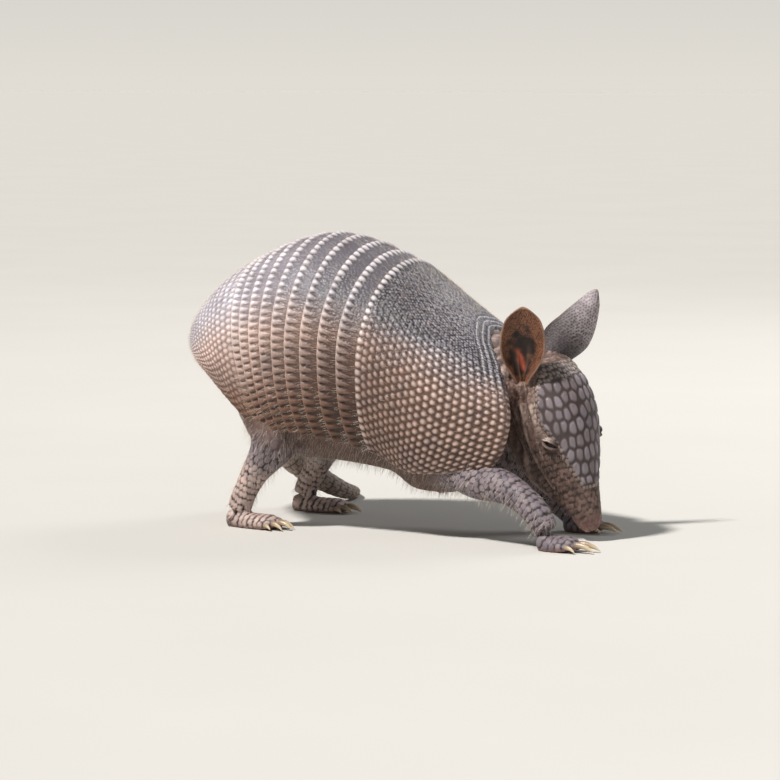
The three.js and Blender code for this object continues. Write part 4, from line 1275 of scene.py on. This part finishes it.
def ear_part(name, rows=104, columns=56):
    """An ear as one closed sheet: its points, faces and colours. It starts down inside the head."""
    ear = EARS[name]
    root, tip = np.array(ear["root"], float), np.array(ear["tip"], float)
    axis = unit(tip - root)
    across = unit(np.cross(ear["facing"], axis))
    front = np.cross(axis, across)
    t = np.linspace(-0.16, 1, rows)[:, None]
    on = np.clip(t, 0, 1)
    buried = (4.5 * smooth(0.03, -0.12, t))[..., None]
    curl = np.radians(through(EAR_CURL, on))
    share = np.linspace(-1, 1, columns)[None]
    straighter = 1 - (1 - ear["inner"]) * smooth(0.1, 0.9, -share) * smooth(0.15, 0.55, on) * smooth(1.1, 0.8, on)
    straighter = straighter * (1 + (ear["outer"] - 1) * smooth(0.0, 0.4, share) * np.sin(np.pi * on) ** 0.7)
    span = through(ear["span"], on) * np.sqrt(np.clip(1 - (np.clip(on - 0.86, 0, 1) / 0.142) ** 2, 0.01, 1))
    radius = span / curl
    turn = curl * share * straighter
    length = np.linalg.norm(tip - root)
    rim = np.sqrt(np.clip(1 - np.abs(share) ** 10, 0, 1)) * np.sqrt(np.clip((1 - t) / 0.02, 0.05, 1))
    thick = (0.85 + 0.9 * (1 - smooth(0.0, 0.35, t))) * (0.25 + 0.75 * rim)
    arc = radius * turn
    hole, number = lattice(t * length / 1.15, arc / 1.3, 1.15, 1.3, jitter=0.45, seed=61)
    pebble = smooth(0.18, 0.42, hole / 1.25)
    dots, _ = lattice(t * length / 0.9, arc / 1.0, 0.9, 1.0, jitter=0.5, seed=67)
    dots = 1 - smooth(0.30, 0.60, dots / 0.95)
    low = smooth(0.62, 0.20, t)
    ridge = (np.exp(-(((share - 0.20) / 0.09) ** 2)) + np.exp(-(((share + 0.26) / 0.10) ** 2))) * low * smooth(0.0, 0.1, t)
    edge = smooth(0.92, 1.0, np.maximum(np.abs(share), (t - 0.5) * 2.0))
    outer_lift = 0.16 * pebble * (1 - edge) + 0.25 * edge
    inner_lift = 0.05 * dots * (1 - edge) + 0.9 * ridge + 0.22 * edge

    def sheet(inward):
        out = radius - inward
        place = root + (tip - root) * t[..., None] - front * buried
        return place + across * (out * np.sin(turn))[..., None] + front * (radius - out * np.cos(turn))[..., None]

    outer, inner = sheet(-outer_lift * rim), sheet(thick + inner_lift * rim)
    # Painted light and shade: the outer ear darkens towards its foot and lightens towards its tip and one edge.
    bright = (0.12 + 0.88 * smooth(0.28, 0.88, t + 0.2 * share)) * (0.82 + 0.18 * number)
    pebble = pebble + (1 - pebble) * 0.55 * smooth(0.45, 0.95, t - 0.2 * share)
    outer_colour = blend_colour(np.tile(srgb(38, 27, 27), (rows, columns, 1)), srgb(192, 180, 184), pebble * bright)
    inner_colour = blend_colour(np.tile(srgb(54, 28, 17), (rows, columns, 1)), srgb(136, 90, 64), 0.1 + 0.7 * dots)
    blotch = grain(inner.reshape(-1, 3), 3.0, 4.0).reshape(rows, columns)
    # Painted shade deep in the ear's cup.
    hollow_shade = 1 - np.hypot((share - 0.05) / 0.62, (t - 0.40) / 0.36) + 0.5 * blotch
    inner_colour = blend_colour(inner_colour, srgb(15, 5, 2), smooth(-0.1, 0.35, hollow_shade) * 0.95)
    slant = 1.3 * (t - 0.30)
    # Painted light: a warm glow where light shines through the ear.
    glow = np.exp(-(((share - slant + 0.15 * blotch) / 0.13) ** 2)) * smooth(0.17, 0.27, t) * smooth(0.52, 0.42, t)
    inner_colour = blend_colour(inner_colour, srgb(190, 92, 64), glow * 0.9)
    inner_colour = blend_colour(inner_colour, srgb(150, 112, 92), ridge * 0.35)
    for part in (outer_colour, inner_colour):
        part[:] = blend_colour(part, srgb(146, 116, 96), edge * 0.7)
    skirt = smooth(0.16, 0.0, t) + 0 * share
    outer_colour = blend_colour(outer_colour, srgb(104, 88, 84), skirt)
    loops = np.concatenate([outer, inner[:, ::-1]], 1)
    colours = np.concatenate([outer_colour, inner_colour[:, ::-1]], 1)
    sides = columns * 2
    quads = grid_faces(rows, sides, closed=True)
    top = (rows - 1) * sides
    j = np.arange(columns - 1)
    cap = top + np.stack([j, j + 1, sides - 2 - j, sides - 1 - j], -1)
    faces = np.vstack([quads, cap])
    return loops.reshape(-1, 3), outward(loops.reshape(-1, 3), faces), colours.reshape(-1, 3)


def build_skin(props):
    mesh = wrapped(flesh_parts(), props.voxel)
    mesh.update()
    points = relax(mesh, mesh_points(mesh), 7)
    u, angle, away = body_share(points)
    margin = np.radians(through(BODY["margin"], u))
    hidden = (np.abs(angle) < margin - 0.16) & (u > 0.03) & (u < 0.9) & (away < 2.0)
    mesh.vertices.foreach_set("co", points.astype(np.float32).ravel())
    solid = bmesh.new()
    solid.from_mesh(mesh)
    solid.verts.ensure_lookup_table()
    bmesh.ops.delete(solid, geom=[solid.verts[k] for k in np.flatnonzero(hidden)], context="VERTS")
    for centre, reach, times in fine_spots():
        for _ in range(times):
            near = [f for f in solid.faces if (f.calc_center_median() - Vector(centre)).length < reach]
            edges = {e for f in near for e in f.edges}
            bmesh.ops.subdivide_edges(solid, edges=list(edges), cuts=1, use_grid_fill=True, smooth=0.0)
    bmesh.ops.triangulate(solid, faces=[f for f in solid.faces if len(f.verts) > 4])
    solid.to_mesh(mesh)
    solid.free()
    points = mesh_points(mesh)
    normals = mesh_normals(mesh)
    out, colour = skin_marks(points, normals, props)
    points = open_ears(points + normals * out[:, None])
    points, colour = shape_lids(points, colour)
    points[:, 2] = np.maximum(points[:, 2], -ORIGIN[2] + 0.01)
    mesh.vertices.foreach_set("co", metres(points).astype(np.float32).ravel())
    store(mesh, "tint", colour)
    mesh.polygons.foreach_set("use_smooth", np.ones(len(mesh.polygons), bool))
    mesh.update()
    skin = bpy.data.objects.new("skin", mesh)
    bpy.context.scene.collection.objects.link(skin)
    ears = []
    for name in EARS:
        p, f, c = ear_part(name)
        ears.append(make_object(f"ear_{name}_skin", p, f, {"tint": c}))
    with bpy.context.temp_override(active_object=skin, object=skin, selected_editable_objects=[skin, *ears]):
        bpy.ops.object.join()
    skin.data.name = "skin"
    return skin


def skin_material():
    shader = Shader("Skin", roughness=0.55, Specular_IOR_Level=0.4)
    tint = shader.attribute("tint", "Color")
    mottle, fine = shader.noise(220, 4), shader.noise(1300, 4, 0.65)
    colour = shader.mix(shader.ramp(mottle, (0.35, 0), (0.70, 0.45)), tint, srgb(60, 44, 38), "MULTIPLY")
    shader.set(Base_Color=colour, Roughness=shader.ramp(fine, (0.3, 0.48), (0.7, 0.70)))
    shader.set(Normal=shader.bump(fine, 0.45, 0.0004))
    return shader.material


# ---------------------------------------------------------------- eyes and claws


def build_eye(name, side):
    centre, look, slit, across = eye_frame(side)
    rows, sides = 40, 56
    polar = np.linspace(0.0, np.pi, rows)[:, None]
    turn = np.linspace(0, 2 * np.pi, sides, endpoint=False)[None]
    bulge = EYE_RADIUS + 0.12 * np.exp(-((polar / 0.5) ** 2))
    ways = (np.cos(polar)[..., None] * look + (np.sin(polar) * np.cos(turn))[..., None] * slit
            + (np.sin(polar) * np.sin(turn))[..., None] * across)
    points = centre + bulge[..., None] * ways
    faces = outward(points.reshape(-1, 3), grid_faces(rows, sides, closed=True))
    uv = np.stack(np.meshgrid(np.linspace(0.02, 0.98, sides), np.linspace(0.02, 0.98, rows)), -1)
    return make_object(f"eyeball_{name}", points, faces, {"iris": polar + 0 * turn}, uv)


def eye_material():
    shader = Shader("Eye", roughness=0.3, Specular_IOR_Level=0.25)
    iris = shader.attribute("iris")
    streaks = shader.noise(2600, 3, 0.7)
    brown = shader.mix(streaks, srgb(20, 12, 9), srgb(42, 26, 17))
    colour = shader.mix(shader.ramp(iris * 0.6, (0.20, 0), (0.26, 1)), srgb(6, 5, 6), brown)
    shader.set(Base_Color=shader.mix(shader.ramp(iris * 0.6, (0.44, 0), (0.50, 1)), colour, srgb(18, 13, 12)))
    shader.set(Normal=shader.bump(streaks, 0.02, 0.0001))
    return shader.material


def build_claw(name, k, toe):
    """A curved claw, deeper than it is wide, set in the end of its toe."""
    root, way = toe_frame(name, toe)
    _, _, length, r, claw = toe
    up = np.array([0, 0, 1])
    start = length - 1.4
    reach = claw + 1.4 + CLAW_GAP
    path = [root + way * start + up * r * 1.0, root + way * (start + reach * 0.35) + up * (r * 1.12),
            root + way * (start + reach * 0.72) + up * (r * 0.80), root + way * (start + reach) + up * 0.5]
    rows, sides = 30, 20
    centre = curve_points(path, rows)
    ways, side, top = path_frames(centre)
    t = np.linspace(0, 1, rows)[:, None]
    thick = r * 0.62 * (1 - t**1.7) ** 0.8 + 0.07
    angle = np.linspace(0, 2 * np.pi, sides, endpoint=False)[None]
    flat_under = np.where(np.sin(angle) < 0, 0.72, 1.12)
    ridged = 1 + 0.03 * np.sin(t * 60)
    loops = (centre[:, None] + (thick * 0.86 * np.cos(angle) * ridged)[..., None] * side[:, None]
             + (thick * flat_under * np.sin(angle) * ridged)[..., None] * top[:, None])
    loops[..., 2] = np.maximum(loops[..., 2], -ORIGIN[2] + 0.02)
    points, faces = closed_loft(loops)
    along = np.append((t + 0 * angle).ravel(), [0, 1])
    return make_object(f"{name}_horn_{k + 1}", points, faces, {"along": along})


def claw_material():
    shader = Shader("Claw horn", roughness=0.32, Specular_IOR_Level=0.5)
    along = shader.attribute("along")
    streaks = shader.noise(700, 4, 0.6)
    colour = shader.mix(shader.ramp(along, (0.1, 0), (0.9, 1)), srgb(128, 104, 84), srgb(214, 196, 164))
    shader.set(Base_Color=shader.mix(streaks * 0.5, colour, srgb(86, 66, 52)))
    shader.set(Normal=shader.bump(streaks, 0.2, 0.0003))
    return shader.material


# ---------------------------------------------------------------- hair


HAIR_SIDES, HAIR_RINGS = 3, 4


def build_hair(name, roots, ways, lengths, seed, thick=0.055):
    """Tapered hairs that bend over as they grow, each with a small patch of the unwrap at its root."""
    rng = np.random.default_rng(seed)
    count = len(roots)
    t = np.linspace(0, 1, HAIR_RINGS)
    droop = np.array([0, 0, -1.0]) * rng.uniform(0.1, 0.5, (count, 1)) + rng.normal(0, 0.16, (count, 3))
    line = (roots[:, None] + ways[:, None] * (lengths[:, None] * t)[..., None]
            + droop[:, None] * (lengths[:, None] * t**2)[..., None] * 0.5)
    side = unit(np.cross(ways, rng.normal(0, 1, (count, 3))))
    other = np.cross(unit(ways), side)
    turn = np.arange(HAIR_SIDES) * 2 * np.pi / HAIR_SIDES
    width = thick * (1 - 0.85 * t)
    ring = (np.cos(turn)[None, None, :, None] * side[:, None, None] + np.sin(turn)[None, None, :, None] * other[:, None, None])
    points = line[:, :, None] + ring * width[None, :, None, None]
    points[..., 2] = np.maximum(points[..., 2], -ORIGIN[2] + 0.02)
    one = grid_faces(HAIR_RINGS, HAIR_SIDES, closed=True)
    faces = (one[None] + (np.arange(count) * HAIR_RINGS * HAIR_SIDES)[:, None, None]).reshape(-1, 4)
    centre = (roots[:, 0] + 120) / 240
    height = np.arctan2(roots[:, 1], roots[:, 2] - 55) / (2 * np.pi) + 0.5
    patch = np.stack(np.meshgrid(np.linspace(0, 0.003, HAIR_SIDES), np.linspace(0, 0.003, HAIR_RINGS)), -1)
    uv = np.stack([centre, height], -1)[:, None, None] * 0.99 + patch[None]
    return make_object(name, points, faces, {"tip": np.tile(np.repeat(t, HAIR_SIDES), count)}, uv)


def hair_material():
    shader = Shader("Hair", roughness=0.45)
    tip, mottle = shader.attribute("tip"), shader.noise(120, 2)
    colour = shader.mix(tip, srgb(180, 162, 146), srgb(240, 232, 220))
    shader.set(Base_Color=shader.mix(mottle * 0.4, colour, srgb(156, 140, 124)))
    return shader.material


def shell_hair(props):
    """Fine hairs from under the rear edge of the shields and bands, more of them low on the flank."""
    rng = np.random.default_rng(14)
    roots, ways, lengths = [], [], []
    edges = [band_edge(k) + 0.003 for k in range(BANDS + 1)]
    for u0 in edges:
        u = np.full(260, u0)
        margin = math.radians(float(through(BODY["margin"], np.array([u0]))[0]))
        angle = rng.uniform(-0.99, 0.99, len(u)) * margin
        keep = rng.uniform(0, 1, len(u)) < 0.35 + 0.65 * (np.abs(angle) / margin) ** 2
        u, angle = u[keep], angle[keep]
        root = barrel(u, angle, 0.2)
        back = unit(barrel(u - 0.01, angle, 0.2) - root)
        outwards = unit(barrel(u, angle, 1.2) - root)
        roots.append(root)
        ways.append(unit(back * rng.uniform(0.8, 1.2, (len(u), 1)) + outwards * rng.uniform(0.25, 0.8, (len(u), 1))
                         + rng.normal(0, 0.12, (len(u), 3))))
        lengths.append(rng.uniform(1.6, 3.0, len(u)))
    u = rng.uniform(0.06, 0.93, 6500)
    angle = rng.normal(0, 0.75, len(u))
    root = barrel(u, angle, 0.1)
    back = unit(barrel(u - 0.01, angle, 0.1) - root)
    outwards = unit(barrel(u, angle, 1.1) - root)
    roots.append(root)
    ways.append(unit(back * 0.8 + outwards * rng.uniform(0.4, 1.0, (len(u), 1)) + rng.normal(0, 0.2, (len(u), 3))))
    lengths.append(rng.uniform(1.2, 2.4, len(u)))
    return build_hair("shell_hair", np.vstack(roots), np.vstack(ways), np.concatenate(lengths), 3, 0.05)


def body_hair(skin):
    """Longer, sparse hairs over the belly, the flanks' lower edge, the legs and the cheeks."""
    rng = np.random.default_rng(22)
    mesh = skin.data
    points = mesh_points(mesh) * 1000 - ORIGIN
    normals = mesh_normals(mesh)
    head = to_head(points)
    near_eyes = np.minimum(*(np.linalg.norm(points - eye_frame(s)[0], axis=1) for s in EYE_SIDES.values()))
    on_head = (head[:, 0] > 0) & (np.abs(head[:, 1]) < 19) & (np.abs(head[:, 2]) < 18)
    ears = (points[:, 2] > 60) & (head[:, 0] < 10)
    below = (points[:, 2] < 44) & (points[:, 2] > 7)
    wanted = np.where(on_head, 0.16, np.where(below, 0.6, 0.05)) * (near_eyes > 5) * ~ears
    wanted = wanted * (normals[:, 2] < 0.9) * ~((head[:, 0] > 55) & on_head)
    wanted /= wanted.sum()
    pick = rng.choice(len(points), 5200, replace=False, p=wanted)
    root, out = points[pick], normals[pick]
    lean = np.where(on_head[pick][:, None], in_head((60, 0, 0)) - in_head((0, 0, 0)), np.array([-8.0, 0, -26.0]))
    ways = unit(out * 0.55 + unit(lean) * 0.75 + rng.normal(0, 0.15, out.shape))
    length = np.where(on_head[pick], rng.uniform(0.8, 1.7, len(pick)), rng.uniform(1.8, 4.2, len(pick)))
    return build_hair("body_hair", root - out * 0.1, ways, length, 5)


# ---------------------------------------------------------------- the studio


AIM = (-8, 0, 58)
FOCAL_PIXELS, FRAME_PIXELS = 3570, 780


def soft_light(name, place, aim, size, power, colour=(1, 1, 1)):
    data = bpy.data.lights.new(name, "AREA")
    data.shape, data.size, data.energy, data.color = "DISK", size, power, colour
    lamp = bpy.data.objects.new(name, data)
    lamp.location = place
    lamp.rotation_euler = (Vector(aim) - Vector(place)).to_track_quat("-Z", "Y").to_euler()
    bpy.context.scene.collection.objects.link(lamp)


def studio_world():
    """A pale surround, brightest at the horizon, where it meets the floor."""
    world = bpy.data.worlds.new("studio")
    world.use_nodes = True
    tree = world.node_tree
    place, split, ramp = (tree.nodes.new(f"ShaderNode{kind}") for kind in ("TexCoord", "SeparateXYZ", "ValToRGB"))
    tree.links.new(place.outputs["Generated"], split.inputs[0])
    tree.links.new(split.outputs["Z"], ramp.inputs["Fac"])
    tree.links.new(ramp.outputs[0], tree.nodes["Background"].inputs["Color"])
    Shader._ramp(ramp.color_ramp, ((0.0, (0.752, 0.72, 0.658)), (0.04, (0.64, 0.63, 0.6)), (0.14, 0.25), (0.5, 0.16)))
    return world


def build_stage(props):
    scene = bpy.context.scene
    aim = Vector(metres(AIM))
    a, e = props.azimuth, props.elevation
    back = Vector((math.sin(a) * math.cos(e), -math.cos(a) * math.cos(e), math.sin(e)))
    data = bpy.data.cameras.new("camera")
    data.sensor_width = 36
    data.lens = 36 * FOCAL_PIXELS / FRAME_PIXELS
    camera = bpy.data.objects.new("camera", data)
    camera.location = aim + back * props.distance
    camera.rotation_euler = (-back).to_track_quat("-Z", "Y").to_euler()
    scene.collection.objects.link(camera)
    scene.camera = camera

    floor_size = 40
    mesh = bpy.data.meshes.new("studio_floor")
    corners = [(-1, -1), (1, -1), (1, 1), (-1, 1)]
    mesh.from_pydata([(x * floor_size, y * floor_size, -0.0002) for x, y in corners], [], [(0, 1, 2, 3)])
    floor = bpy.data.objects.new("studio_floor", mesh)
    scene.collection.objects.link(floor)
    shader = Shader("Studio floor", roughness=0.9, Specular_IOR_Level=0.1)
    shader.set(Base_Color=shader.mix(shader.noise(6, 2), tuple(props.floor), srgb(196, 194, 189)))
    floor.data.materials.append(shader.material)

    toward = {"key": Vector((-0.20, -0.56, 0.80)), "fill": Vector((0.75, -0.6, 0.35)), "rim": Vector((0.2, 0.85, 0.7))}
    key = bpy.data.lights.new("key", "SUN")
    key.energy, key.angle, key.color = 5.0, math.radians(6), (1.0, 0.97, 0.94)
    sun = bpy.data.objects.new("key", key)
    sun.rotation_euler = toward["key"].to_track_quat("Z", "Y").to_euler()
    scene.collection.objects.link(sun)
    soft_light("fill", aim + toward["fill"] * 1.5, aim, 1.0, 3.5, (0.94, 0.97, 1.0))
    soft_light("rim", aim + toward["rim"] * 1.3, aim, 0.7, 6, (1.0, 1.0, 1.0))
    scene.world = studio_world()
    scene.view_settings.view_transform = "Standard"


# ---------------------------------------------------------------- operators, panel and order of work


def shell_props(context):
    return context.scene.armadillo_shell


class ARMADILLO_OT_shell(bpy.types.Operator):
    """Build the shoulder shield, the nine bands and the pelvic shield"""

    bl_idname = "armadillo.shell"
    bl_label = "Shell"

    def execute(self, context):
        props = shell_props(context)
        material = shell_material(props)
        finish_piece(build_shoulder(props), material, ["scapular_shield"])
        for k in range(BANDS):
            finish_piece(build_band(props, k), material, [f"band_{k + 1}"])
        finish_piece(build_pelvic(props), material, ["pelvic_shield"])
        return {"FINISHED"}


class ARMADILLO_OT_head_shield(bpy.types.Operator):
    """Build the plates of the forehead"""

    bl_idname = "armadillo.head_shield"
    bl_label = "Head plates"

    def execute(self, context):
        finish_piece(build_head_shield(), head_material(), ["head_shield"])
        return {"FINISHED"}


class ARMADILLO_OT_tail(bpy.types.Operator):
    """Build the ringed tail"""

    bl_idname = "armadillo.tail"
    bl_label = "Tail"

    def execute(self, context):
        nodes = [f"tail_{k}" for k in range(1, 7)]
        finish_piece(build_tail(), tail_material(), nodes)
        return {"FINISHED"}


class ARMADILLO_OT_skin(bpy.types.Operator):
    """Wrap one skin round the trunk, neck, head, ears, legs and feet"""

    bl_idname = "armadillo.skin"
    bl_label = "Skin"

    def execute(self, context):
        nodes = ["trunk", "neck", "head", "ear_right", "ear_left"]
        nodes += [f"{name}_{part}" for name in LIMBS for part in ("leg", "foot")]
        finish_piece(build_skin(context.scene.armadillo_skin), skin_material(), nodes)
        return {"FINISHED"}


class ARMADILLO_OT_eyes(bpy.types.Operator):
    """Build the two eyeballs"""

    bl_idname = "armadillo.eyes"
    bl_label = "Eyes"

    def execute(self, context):
        material = eye_material()
        for name, side in EYE_SIDES.items():
            finish_piece(build_eye(name, side), material, [f"eye_{name}"])
        return {"FINISHED"}


class ARMADILLO_OT_claws(bpy.types.Operator):
    """Build the claws of the four feet"""

    bl_idname = "armadillo.claws"
    bl_label = "Claws"

    def execute(self, context):
        material = claw_material()
        for name in LIMBS:
            toes = (FORE_PAW if name.startswith("fore") else HIND_PAW)["toes"]
            for k, toe in enumerate(toes):
                finish_piece(build_claw(name, k, toe), material, [f"{name}_claw_{k + 1}"])
        return {"FINISHED"}


class ARMADILLO_OT_hair(bpy.types.Operator):
    """Grow the sparse hair of the shell's edges, the belly and the legs. The skin comes first"""

    bl_idname = "armadillo.hair"
    bl_label = "Hair"

    def execute(self, context):
        material = hair_material()
        finish_piece(shell_hair(shell_props(context)), material, [])
        finish_piece(body_hair(bpy.data.objects["skin"]), material, [])
        return {"FINISHED"}


class ARMADILLO_OT_stage(bpy.types.Operator):
    """Set the camera, the lights and the floor"""

    bl_idname = "armadillo.stage"
    bl_label = "Studio"

    def execute(self, context):
        build_stage(context.scene.armadillo_stage)
        return {"FINISHED"}


STEPS = (ARMADILLO_OT_stage, ARMADILLO_OT_shell, ARMADILLO_OT_head_shield, ARMADILLO_OT_tail, ARMADILLO_OT_skin,
         ARMADILLO_OT_eyes, ARMADILLO_OT_claws, ARMADILLO_OT_hair)


class ARMADILLO_PT_steps(bpy.types.Panel):
    """The steps that build the armadillo, in their order"""

    bl_idname = "ARMADILLO_PT_steps"
    bl_label = "Armadillo"
    bl_space_type = "VIEW_3D"
    bl_region_type = "UI"
    bl_category = "Armadillo"

    def draw(self, context):
        for step in STEPS:
            self.layout.operator(step.bl_idname)


GROUPS = {"armadillo_shell": ArmadilloShell, "armadillo_skin": ArmadilloSkin, "armadillo_stage": ArmadilloStage}


def register():
    for cls in (*GROUPS.values(), *STEPS, ARMADILLO_PT_steps):
        bpy.utils.register_class(cls)
    for key, group in GROUPS.items():
        setattr(bpy.types.Scene, key, bpy.props.PointerProperty(type=group))


def unregister():
    for key in GROUPS:
        delattr(bpy.types.Scene, key)
    for cls in (ARMADILLO_PT_steps, *reversed(STEPS), *reversed(GROUPS.values())):
        bpy.utils.unregister_class(cls)


def main():
    register()
    for step in STEPS:
        group, name = step.bl_idname.split(".")
        getattr(getattr(bpy.ops, group), name)()


if __name__ == "__main__":
    main()
